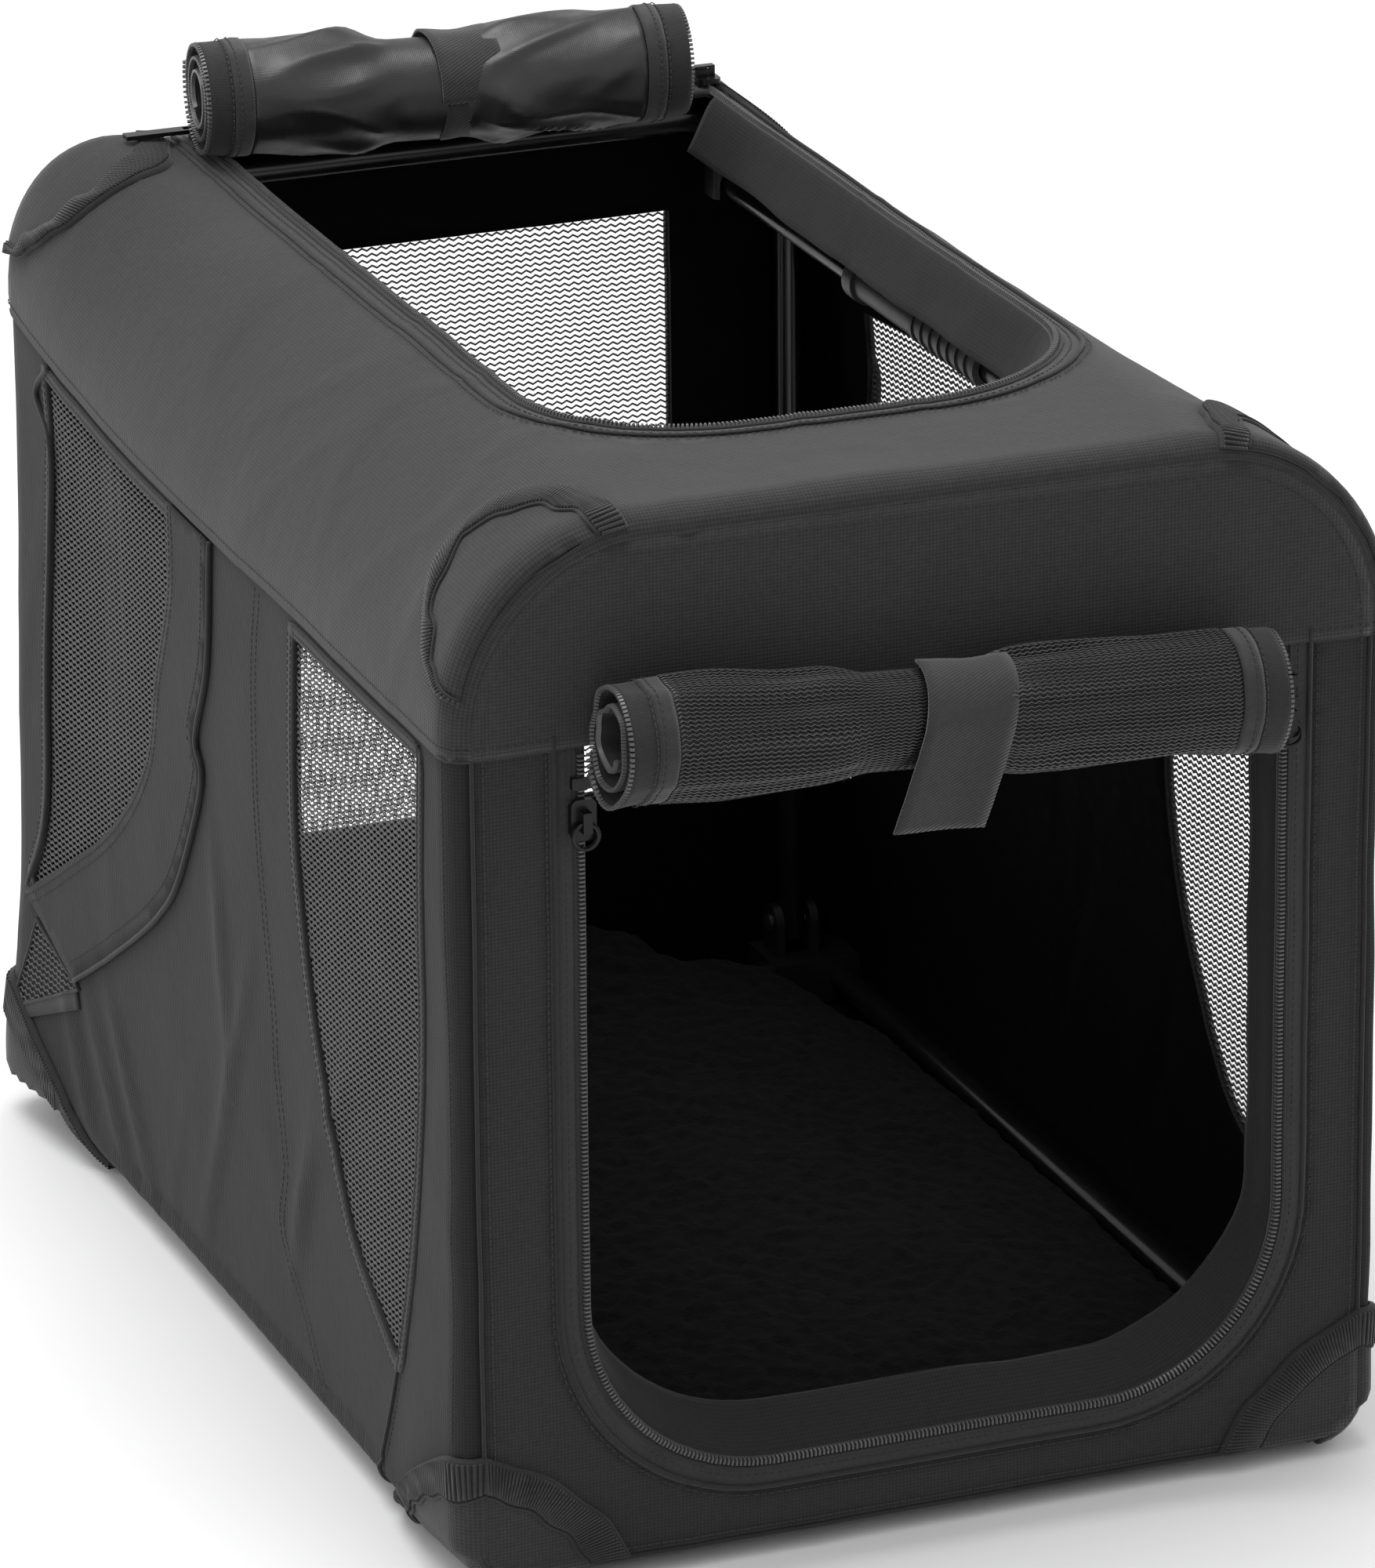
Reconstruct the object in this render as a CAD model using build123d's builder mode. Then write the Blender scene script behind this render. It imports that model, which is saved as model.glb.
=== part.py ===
"""Soft-sided folding pet carrier: fabric cabin over a folding steel tube frame.

Millimetres. +X is the carrier's right seen from the door, -Y is the door end and
+Z is up. The origin is on the ground under the middle of the base.
"""

import os
from math import cos, radians, sin, sqrt

from build123d import *

os.makedirs("parts", exist_ok=True)

# ---- driving dimensions -------------------------------------------------------------
WIDTH = 420.0
LENGTH = 600.0
HEIGHT = 470.0
FABRIC = 4.0  # padded fabric wall
TOP_RADIUS = 85.0  # rounding of the roof over the side walls
BASE_RADIUS = 25.0  # rounding at the foot of the walls
ROOF_SEAM_Z = 376.0  # the roof piece ends here and the side walls begin
PANEL_GAP = 0.5  # sewn neighbours stand this far apart as solids

TUBE_R = 6.5  # folding frame and base tube
TUBE_WALL = 1.0
FRAME_Y = 278.0  # planes of the two end frames
FRAME_TOP_Z = 455.0
FRAME_BEND_R = 60.0
FRONT_HALF = 190.0  # front frame posts stand outside the back frame's
BACK_HALF = 171.0
FRONT_HINGE_Z = 66.0  # the front frame closes over the back frame
BACK_HINGE_Z = 44.0
POST_FOOT = 8.0  # post below its hinge pin
PIN_R = 2.5
PIN_RUN = 0.05  # running clearance round a pin

BASE_TUBE_Z = 17.0
SOCKET_DEPTH = 14.0
CORNER_X = (155.0, 199.0)
CORNER_Y = (258.0, 294.0)
CORNER_Z = (6.0, 28.0)
CORNER_R = 14.0
EAR_T = 4.2
EAR_R = 9.0
EAR_CLEAR = 0.3

RAIL_X = 141.0  # top side rails
RAIL_Z = 422.0
RAIL_R = 6.0
RAIL_END_Y = 284.0
KNEE_GAP = 3.0  # each half rail stops this far from the knee's middle
KNEE_PLATE = (3.0, 46.0, 8.0)
RIVET_R = 1.5
RIVET_Y = 14.0

SLEEVE_Y = (-38.0, 112.0)  # locked place of the lock sleeve
SLEEVE_BORE = 6.6
SLEEVE_R = 8.9
SLEEVE_COLLAR_R = 10.6
SLEEVE_RIB_R = 9.8
RIB_COUNT = 7
RIB_PITCH = 10.0

DOOR_X = 4.0  # the openings are sewn a little to the right of the middle
DOOR_HALF = 153.0
DOOR_Z = (48.0, 388.0)
DOOR_RADIUS = 78.0
HATCH_X = 6.0
HATCH_HALF = 119.0  # opening in the roof
HATCH_Y = (-200.0, 262.0)
HATCH_RADIUS = 66.0
TOP_ZIP_TAIL_Y = 291.0  # the roof zip runs on past the flap's hinge
BACK_WINDOW_HALF = 119.0
BACK_WINDOW_Z = (114.0, 407.0)
BACK_WINDOW_RADIUS = 12.0
MESH_T = 1.0
MESH_GAP = 1.2  # from the window's edge to the mesh as solids

COIL_W = 6.0
COIL_T = 2.4
COIL_OFFSET = 2.0  # from the opening's edge to the zip coil
SLIDER_L = 18.0
SLIDER_W = 11.0
SLIDER_T = 2.2
SLIDER_CLEAR = 0.4
PULL_PIN_R = 1.0

FRONT_ROLL_R = 25.0  # rolls hang a little askew: left end, right end
FRONT_ROLL_X = (-150.0, 140.0)
FRONT_ROLL_Z = (388.0, 372.0)
FRONT_STRAP_X = -18.0
FRONT_STRAP_W = 40.0
FRONT_STRAP_TAIL = 46.0
TOP_ROLL_R = 30.0
TOP_ROLL_X = (-128.0, 94.0)
TOP_ROLL_Y = (250.0, 226.0)
TOP_ROLL_Z = HEIGHT + 36.0
TOP_STRAP_X = -24.0
TOP_STRAP_W = 30.0
STRAP_T = 1.5
ROLL_GAP = 1.0

BOARD = (360.0, 512.0, 12.0)  # width, length, corner radius
MAT = (354.0, 528.0, 66.0)
MAT_T = 16.0
MAT_EDGE_R = 6.0

SIDES = (("left", -1), ("right", 1))


def save(part, name):
    """Label a finished piece and write its STEP file."""
    part.label = name
    export_step(part, f"parts/{name}.step")


# ---- base: tubes, corner blocks, hinge pins ----------------------------------------
for side, s in SIDES:
    with BuildPart() as base_rail:
        with BuildSketch(Plane.XZ.offset(-CORNER_Y[0] - SOCKET_DEPTH)):
            with Locations((s * FRONT_HALF, BASE_TUBE_Z)):
                Circle(TUBE_R)
                Circle(TUBE_R - TUBE_WALL, mode=Mode.SUBTRACT)
        extrude(amount=2 * (CORNER_Y[0] + SOCKET_DEPTH))
    save(base_rail.part, f"base_rail_{side}")

for end, e in (("front", -1), ("rear", 1)):
    with BuildPart() as base_cross:
        with BuildSketch(Plane.YZ.offset(-CORNER_X[0] - SOCKET_DEPTH)):
            with Locations((e * FRAME_Y, BASE_TUBE_Z)):
                Circle(TUBE_R)
                Circle(TUBE_R - TUBE_WALL, mode=Mode.SUBTRACT)
        extrude(amount=2 * (CORNER_X[0] + SOCKET_DEPTH))
    save(base_cross.part, f"base_cross_tube_{end}")

for end, e, post_x, hinge_z in (
    ("front", -1, FRONT_HALF, FRONT_HINGE_Z),
    ("rear", 1, BACK_HALF, BACK_HINGE_Z),
):
    for side, s in SIDES:
        with BuildPart() as corner:
            with BuildSketch(Plane.XY.offset(CORNER_Z[0])):
                with Locations((s * sum(CORNER_X) / 2, e * sum(CORNER_Y) / 2)):
                    Rectangle(CORNER_X[1] - CORNER_X[0], CORNER_Y[1] - CORNER_Y[0])
                outer = vertices().sort_by(Axis.Y, reverse=e > 0)[:2]
                fillet(outer.sort_by(Axis.X, reverse=s > 0)[0], CORNER_R)
            extrude(amount=CORNER_Z[1] - CORNER_Z[0])
            # socket for the base rail, open towards the middle of the base
            with BuildSketch(Plane.XZ.offset(-e * CORNER_Y[0])):
                with Locations((s * FRONT_HALF, BASE_TUBE_Z)):
                    Circle(TUBE_R + PIN_RUN)
            extrude(amount=-e * (SOCKET_DEPTH + PIN_RUN), mode=Mode.SUBTRACT)
            # socket for the cross tube
            with BuildSketch(Plane.YZ.offset(s * CORNER_X[0])):
                with Locations((e * FRAME_Y, BASE_TUBE_Z)):
                    Circle(TUBE_R + PIN_RUN)
            extrude(amount=s * (SOCKET_DEPTH + PIN_RUN), mode=Mode.SUBTRACT)
            # two ears that hold the frame post's hinge pin
            for ear in (-1, 1):
                inner = s * post_x + ear * (TUBE_R + EAR_CLEAR)
                with BuildSketch(Plane.YZ.offset(inner)):
                    with Locations((e * FRAME_Y, hinge_z)):
                        Circle(EAR_R)
                    with Locations((e * FRAME_Y, (hinge_z + CORNER_Z[1] - 1.0) / 2)):
                        Rectangle(2 * EAR_R, hinge_z - CORNER_Z[1] + 1.0)
                    with Locations((e * FRAME_Y, hinge_z)):
                        Circle(PIN_R + 0.02, mode=Mode.SUBTRACT)
                extrude(amount=ear * EAR_T)
        save(corner.part, f"base_corner_{end}_{side}")

with BuildPart() as hinge_pins:
    for e, post_x, hinge_z in ((-1, FRONT_HALF, FRONT_HINGE_Z), (1, BACK_HALF, BACK_HINGE_Z)):
        for side, s in SIDES:
            reach = TUBE_R + EAR_CLEAR + EAR_T
            with BuildSketch(Plane.YZ.offset(s * post_x - reach)):
                with Locations((e * FRAME_Y, hinge_z)):
                    Circle(PIN_R)
            extrude(amount=2 * reach)
            for face_x, way in ((s * post_x - reach, -1), (s * post_x + reach, 1)):
                with BuildSketch(Plane.YZ.offset(face_x)):
                    with Locations((e * FRAME_Y, hinge_z)):
                        Circle(PIN_R + 1.6)
                extrude(amount=way * 1.4)
save(hinge_pins.part, "hinge_pins")


# ---- folding end frames --------------------------------------------------------------
def end_frame_path(half, hinge_z):
    """Centre line of an inverted U: up one post, over the top, down the other."""
    bend_x = half - FRAME_BEND_R
    bend_z = FRAME_TOP_Z - FRAME_BEND_R
    foot = hinge_z - POST_FOOT
    with BuildLine(Plane.XZ) as line:
        Line((-half, foot), (-half, bend_z))
        RadiusArc((-half, bend_z), (-bend_x, FRAME_TOP_Z), FRAME_BEND_R)
        Line((-bend_x, FRAME_TOP_Z), (bend_x, FRAME_TOP_Z))
        RadiusArc((bend_x, FRAME_TOP_Z), (half, bend_z), FRAME_BEND_R)
        Line((half, bend_z), (half, foot))
    return line.wire()


def end_frame_solid(half, hinge_z, y, outer, inner):
    """The bent tube swept along its centre line."""
    path = Pos(0, y, 0) * end_frame_path(half, hinge_z)
    start = path @ 0
    with BuildPart(mode=Mode.PRIVATE) as tube:
        with BuildSketch(Plane(origin=start, z_dir=path % 0)):
            Circle(outer)
            if inner:
                Circle(inner, mode=Mode.SUBTRACT)
        sweep(path=path)
    return tube.part


for name, half, hinge_z, y in (
    ("front_frame", FRONT_HALF, FRONT_HINGE_Z, -FRAME_Y),
    ("back_frame", BACK_HALF, BACK_HINGE_Z, FRAME_Y),
):
    with BuildPart() as frame:
        add(end_frame_solid(half, hinge_z, y, TUBE_R, TUBE_R - TUBE_WALL))
        with BuildSketch(Plane.YZ.offset(-WIDTH / 2)):
            with Locations((y, hinge_z)):
                Circle(PIN_R + PIN_RUN)
        extrude(amount=WIDTH, mode=Mode.SUBTRACT)
    save(frame.part, name)

# plastic saddles on the end frames, open below, that the rail ends drop out of
for name, half, hinge_z, y in (
    ("rail_saddles_front", FRONT_HALF, FRONT_HINGE_Z, -FRAME_Y),
    ("rail_saddles_back", BACK_HALF, BACK_HINGE_Z, FRAME_Y),
):
    bend_centre = (half - FRAME_BEND_R, FRAME_TOP_Z - FRAME_BEND_R)
    tube_z = bend_centre[1] + sqrt(FRAME_BEND_R**2 - (RAIL_X - bend_centre[0]) ** 2)
    with BuildPart() as saddles:
        for side, s in SIDES:
            with BuildSketch(Plane.XY.offset(RAIL_Z - RAIL_R)):
                with Locations((s * RAIL_X, y)):
                    RectangleRounded(20.0, 16.0, 3.0)
            extrude(amount=tube_z - RAIL_Z + RAIL_R + 2.0)
            with BuildSketch(Plane.XZ.offset(-y - 10.0)):
                with Locations((s * RAIL_X, RAIL_Z)):
                    Circle(RAIL_R + 1.6)
                with Locations((s * RAIL_X, RAIL_Z - RAIL_R)):
                    Rectangle(2 * RAIL_R + 3.2, 2 * RAIL_R)
            extrude(amount=20.0, mode=Mode.SUBTRACT)
        add(
            end_frame_solid(half, hinge_z, y, TUBE_R + PIN_RUN, 0),
            mode=Mode.SUBTRACT,
        )
    save(saddles.part, name)

# ---- top side rails with their knees and lock sleeves -------------------------------
for side, s in SIDES:
    for half_name, start, length in (
        ("rear", KNEE_GAP, RAIL_END_Y - KNEE_GAP),
        ("front", -RAIL_END_Y, RAIL_END_Y - KNEE_GAP),
    ):
        with BuildPart() as rail:
            with BuildSketch(Plane.XZ.offset(-start)):
                with Locations((s * RAIL_X, RAIL_Z)):
                    Circle(RAIL_R)
                    Circle(RAIL_R - TUBE_WALL, mode=Mode.SUBTRACT)
            extrude(amount=-length)
            rivet_y = RIVET_Y if half_name == "rear" else -RIVET_Y
            with BuildSketch(Plane.YZ.offset(s * RAIL_X - 2 * RAIL_R)):
                with Locations((rivet_y, RAIL_Z)):
                    Circle(RIVET_R + 0.02)
            extrude(amount=4 * RAIL_R, mode=Mode.SUBTRACT)
        save(rail.part, f"top_rail_{half_name}_{side}")

    with BuildPart() as knee:
        with Locations((s * RAIL_X, 0, RAIL_Z)):
            Box(*KNEE_PLATE)
        with BuildSketch(Plane.YZ.offset(s * RAIL_X - KNEE_PLATE[0])):
            with Locations((-RIVET_Y, RAIL_Z), (RIVET_Y, RAIL_Z)):
                Circle(RIVET_R + PIN_RUN)
        extrude(amount=2 * KNEE_PLATE[0], mode=Mode.SUBTRACT)
    save(knee.part, f"knee_link_{side}")

    # the sleeve's profile is turned about the rail; ribs are for the fingers
    with BuildPart() as sleeve:
        with BuildSketch(Plane(origin=(s * RAIL_X, 0, RAIL_Z), x_dir=(1, 0, 0), z_dir=(0, 0, 1))):
            with Locations(((SLEEVE_BORE + SLEEVE_R) / 2, sum(SLEEVE_Y) / 2)):
                Rectangle(SLEEVE_R - SLEEVE_BORE, SLEEVE_Y[1] - SLEEVE_Y[0])
            with Locations(((SLEEVE_BORE + SLEEVE_COLLAR_R) / 2, SLEEVE_Y[1] - 5.0)):
                Rectangle(SLEEVE_COLLAR_R - SLEEVE_BORE, 10.0)
            with Locations(((SLEEVE_BORE + SLEEVE_RIB_R) / 2, SLEEVE_Y[0] + 2.5)):
                Rectangle(SLEEVE_RIB_R - SLEEVE_BORE, 5.0)
            for rib in range(RIB_COUNT):
                rib_y = SLEEVE_Y[0] + 12.0 + rib * RIB_PITCH
                with Locations(((SLEEVE_BORE + SLEEVE_RIB_R) / 2, rib_y)):
                    Rectangle(SLEEVE_RIB_R - SLEEVE_BORE, 3.4)
        revolve(axis=Axis((s * RAIL_X, 0, RAIL_Z), (0, 1, 0)))
    save(sleeve.part, f"lock_sleeve_{side}")

with BuildPart() as knee_rivets:
    for side, s in SIDES:
        for rivet_y in (-RIVET_Y, RIVET_Y):
            with BuildSketch(Plane.YZ.offset(s * RAIL_X - RAIL_R - 0.3)):
                with Locations((rivet_y, RAIL_Z)):
                    Circle(RIVET_R)
            extrude(amount=2 * RAIL_R + 0.6)
save(knee_rivets.part, "knee_rivets")

with BuildPart() as rail_plugs:
    for side, s in SIDES:
        for e in (-1, 1):
            with Locations((s * RAIL_X, e * (RAIL_END_Y - 6.0), RAIL_Z)):
                Cylinder(RAIL_R - TUBE_WALL - PIN_RUN, 12.0, rotation=(90, 0, 0))
            with Locations((s * RAIL_X, e * (RAIL_END_Y + 1.0), RAIL_Z)):
                Cylinder(RAIL_R, 2.0, rotation=(90, 0, 0))
save(rail_plugs.part, "rail_end_plugs")

# ---- floor ---------------------------------------------------------------------------
with BuildPart() as floor_panel:
    with BuildSketch():
        RectangleRounded(WIDTH - 8.0, LENGTH - 8.0, BASE_RADIUS)
    extrude(amount=3.0)
save(floor_panel.part, "floor_panel")

with BuildPart() as floor_board:
    with BuildSketch(Plane.XY.offset(3.5)):
        RectangleRounded(*BOARD)
    extrude(amount=2.0)
save(floor_board.part, "floor_board")

with BuildPart() as fleece_mat:
    with BuildSketch(Plane.XY.offset(6.0)):
        RectangleRounded(*MAT)
    extrude(amount=MAT_T)
    fillet(fleece_mat.faces().sort_by(Axis.Z)[-1].edges(), MAT_EDGE_R)
save(fleece_mat.part, "fleece_mat")


# ---- fabric cabin --------------------------------------------------------------------
def end_outline(inset):
    """Rounded outline of the cabin's end, seen along Y, drawn this far inside it."""
    half = WIDTH / 2 - inset
    top = HEIGHT - inset
    foot = 4.0 + inset
    top_r = TOP_RADIUS - inset
    foot_r = BASE_RADIUS
    with BuildSketch() as outline:
        with BuildLine():
            Line((-half + foot_r, foot), (half - foot_r, foot))
            RadiusArc((half - foot_r, foot), (half, foot + foot_r), -foot_r)
            Line((half, foot + foot_r), (half, top - top_r))
            RadiusArc((half, top - top_r), (half - top_r, top), -top_r)
            Line((half - top_r, top), (-half + top_r, top))
            RadiusArc((-half + top_r, top), (-half, top - top_r), -top_r)
            Line((-half, top - top_r), (-half, foot + foot_r))
            RadiusArc((-half, foot + foot_r), (-half + foot_r, foot), -foot_r)
        make_face()
    return outline.sketch


def door_outline(grow):
    """The door opening: straight sides and a foot with large round corners."""
    left = DOOR_X - DOOR_HALF - grow
    right = DOOR_X + DOOR_HALF + grow
    foot = DOOR_Z[0] - grow
    head = DOOR_Z[1]
    foot_r = DOOR_RADIUS + grow
    with BuildSketch() as outline:
        with BuildLine():
            Line((left + foot_r, foot), (right - foot_r, foot))
            RadiusArc((right - foot_r, foot), (right, foot + foot_r), -foot_r)
            Line((right, foot + foot_r), (right, head))
            Line((right, head), (left, head))
            Line((left, head), (left, foot + foot_r))
            RadiusArc((left, foot + foot_r), (left + foot_r, foot), -foot_r)
        make_face()
    return outline.sketch


def hatch_outline(grow, tail):
    """The roof opening: a U whose round end is towards the door."""
    left = HATCH_X - HATCH_HALF - grow
    right = HATCH_X + HATCH_HALF + grow
    nose = HATCH_Y[0] - grow
    nose_r = HATCH_RADIUS + grow
    with BuildSketch() as outline:
        with BuildLine():
            Line((left + nose_r, nose), (right - nose_r, nose))
            RadiusArc((right - nose_r, nose), (right, nose + nose_r), -nose_r)
            Line((right, nose + nose_r), (right, tail))
            Line((right, tail), (left, tail))
            Line((left, tail), (left, nose + nose_r))
            RadiusArc((left, nose + nose_r), (left + nose_r, nose), -nose_r)
        make_face()
    return outline.sketch


with BuildPart() as front_panel:
    with BuildSketch(Plane.XZ.offset(LENGTH / 2 - FABRIC)):
        add(end_outline(0))
    extrude(amount=FABRIC)
    with BuildSketch(Plane.XZ.offset(LENGTH / 2 - 2 * FABRIC)):
        add(door_outline(0))
    extrude(amount=4 * FABRIC, mode=Mode.SUBTRACT)
save(front_panel.part, "front_panel")

with BuildPart() as back_panel:
    with BuildSketch(Plane.XZ.offset(-LENGTH / 2)):
        add(end_outline(0))
        with Locations((0, sum(BACK_WINDOW_Z) / 2)):
            RectangleRounded(
                2 * BACK_WINDOW_HALF,
                BACK_WINDOW_Z[1] - BACK_WINDOW_Z[0],
                BACK_WINDOW_RADIUS,
                mode=Mode.SUBTRACT,
            )
    extrude(amount=FABRIC)
save(back_panel.part, "back_panel")

with BuildPart() as window_back:
    with BuildSketch(Plane.XZ.offset(-LENGTH / 2 + 2.0)):
        with Locations((0, sum(BACK_WINDOW_Z) / 2)):
            RectangleRounded(
                2 * (BACK_WINDOW_HALF - MESH_GAP),
                BACK_WINDOW_Z[1] - BACK_WINDOW_Z[0] - 2 * MESH_GAP,
                BACK_WINDOW_RADIUS - MESH_GAP,
            )
    extrude(amount=MESH_T)
save(window_back.part, "window_back")

BODY_LENGTH = LENGTH - 2 * FABRIC - 2 * PANEL_GAP

with BuildPart() as roof_panel:
    with BuildSketch(Plane.XZ.offset(-BODY_LENGTH / 2)):
        add(end_outline(0))
        add(end_outline(FABRIC), mode=Mode.SUBTRACT)
        with Locations((0, ROOF_SEAM_Z / 2)):
            Rectangle(WIDTH + 2, ROOF_SEAM_Z, mode=Mode.SUBTRACT)
    extrude(amount=BODY_LENGTH)
    with BuildSketch(Plane.XY.offset(HEIGHT - 2 * FABRIC)):
        add(hatch_outline(0, HATCH_Y[1]))
    extrude(amount=4 * FABRIC, mode=Mode.SUBTRACT)
save(roof_panel.part, "roof_panel")


# ---- side walls and their mesh windows ----------------------------------------------
WALL_FOOT_Z = 12.0
WINDOW_HEAD_Z = 366.0
TIP_SHRINK = 4.0  # the pointed tips draw in further to keep the same gap


def drawn_in(points, middle, amount):
    """Points of an outline moved towards its middle."""
    return [Vector(*p) + (Vector(*middle) - Vector(*p)).normalized() * amount for p in points]


def front_window(shrink):
    """Leaf-shaped front window: front edge leaning back to a low tip, rear edge curving to it."""
    middle = (-175.0, 270.0)
    front_edge = ((-263.0, WINDOW_HEAD_Z), (-255.0, 248.0), (-242.0, 155.0))
    rear_edge = ((-164.0, 107.0), (-121.0, 165.0), (-94.0, 234.0), (-101.0, WINDOW_HEAD_Z))
    tip = drawn_in([(-216.0, 82.0)], middle, TIP_SHRINK * shrink)
    front_points = drawn_in(front_edge, middle, shrink) + tip
    rear_points = tip + drawn_in(rear_edge, middle, shrink)
    with BuildSketch() as outline:
        with BuildLine():
            Line(rear_points[-1], front_points[0])
            Spline(*front_points)
            Spline(*rear_points)
        make_face()
    return outline.sketch


def rear_window(shrink):
    """Rear window: front edge sweeping back and down to a tip at the foot of the rear edge."""
    middle = (180.0, 270.0)
    front_edge = ((64.0, WINDOW_HEAD_Z), (93.0, 283.0), (162.0, 185.0))
    rear_edge = ((254.0, 160.0), (244.0, 291.0), (240.0, WINDOW_HEAD_Z))
    tip = drawn_in([(274.0, 116.0)], middle, TIP_SHRINK * shrink)
    front_points = drawn_in(front_edge, middle, shrink) + tip
    rear_points = tip + drawn_in(rear_edge, middle, shrink)
    with BuildSketch() as outline:
        with BuildLine():
            Spline(*front_points)
            Polyline(*rear_points)
            Line(rear_points[-1], front_points[0])
        make_face()
    return outline.sketch


for side, s in SIDES:
    outer_x = s * WIDTH / 2
    with BuildPart() as side_panel:
        with BuildSketch(Plane.YZ.offset(outer_x)):
            with Locations((0, (WALL_FOOT_Z + ROOF_SEAM_Z - PANEL_GAP) / 2)):
                Rectangle(BODY_LENGTH, ROOF_SEAM_Z - PANEL_GAP - WALL_FOOT_Z)
        extrude(amount=-s * FABRIC)
        with BuildSketch(Plane.YZ.offset(outer_x)):
            add(front_window(0))
        extrude(amount=-s * FABRIC, mode=Mode.SUBTRACT)
        with BuildSketch(Plane.YZ.offset(outer_x)):
            add(rear_window(0))
        extrude(amount=-s * FABRIC, mode=Mode.SUBTRACT)
    save(side_panel.part, f"side_panel_{side}")

    with BuildPart() as window_front:
        with BuildSketch(Plane.YZ.offset(outer_x - s * 1.5)):
            add(front_window(MESH_GAP))
        extrude(amount=-s * MESH_T)
    save(window_front.part, f"window_front_{side}")

    with BuildPart() as window_rear:
        with BuildSketch(Plane.YZ.offset(outer_x - s * 1.5)):
            add(rear_window(MESH_GAP))
        extrude(amount=-s * MESH_T)
    save(window_rear.part, f"window_rear_{side}")

# ---- zips ----------------------------------------------------------------------------
with BuildPart() as front_zip_coil:
    with BuildSketch(Plane.XZ.offset(LENGTH / 2)):
        add(door_outline(COIL_OFFSET + COIL_W))
        add(door_outline(COIL_OFFSET), mode=Mode.SUBTRACT)
    extrude(amount=COIL_T)
save(front_zip_coil.part, "front_zip_coil")

with BuildPart() as top_zip_coil:
    with BuildSketch(Plane.XY.offset(HEIGHT)):
        add(hatch_outline(COIL_OFFSET + COIL_W, TOP_ZIP_TAIL_Y))
        add(hatch_outline(COIL_OFFSET, TOP_ZIP_TAIL_Y), mode=Mode.SUBTRACT)
    extrude(amount=COIL_T)
save(top_zip_coil.part, "top_zip_coil")

TRACK = COIL_OFFSET + COIL_W / 2  # middle of the coil from the opening's edge
FRONT_TRACK = DOOR_HALF + TRACK
TOP_TRACK = HATCH_HALF + TRACK
FRONT_SLIDER_Z = 345.0
ZIP_STOP = (9.0, 3.4, 5.0)
ZIP_STOP_Z = 358.0
TOP_SLIDER_Y = 280.0
SLIDER_BASE = COIL_T + SLIDER_CLEAR
BRIDGE_H = 5.0
BRIDGE_W = 9.0
BRIDGE_T = 4.0
WIRE_UP = 2.2  # the pull's wire runs this far above the slider's top plate
WIRE_IN = 1.0  # and this far off the slider's middle
RING_R = 5.4
RING_WIRE = 1.0
TAB = (28.0, 7.0, 2.0)
TAB_ARM = (10.0, 1.5, 2.0)
TAB_WAY = -1  # both pull tabs lie towards the left side


def zip_slider(plane):
    """A slider seen with its travel along the plane's y: cheeks, top plate and bridge."""
    with BuildPart(mode=Mode.PRIVATE) as body:
        with BuildSketch(plane.offset(SLIDER_BASE)):
            RectangleRounded(SLIDER_W, SLIDER_L, 3.0)
        extrude(amount=SLIDER_T)
        for cheek in (-1, 1):
            with BuildSketch(plane.offset(SLIDER_CLEAR)):
                with Locations((cheek * (SLIDER_W / 2 - 0.9), 0)):
                    Rectangle(1.6, SLIDER_L - 6.0)
            extrude(amount=SLIDER_BASE)
    return body.part


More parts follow.
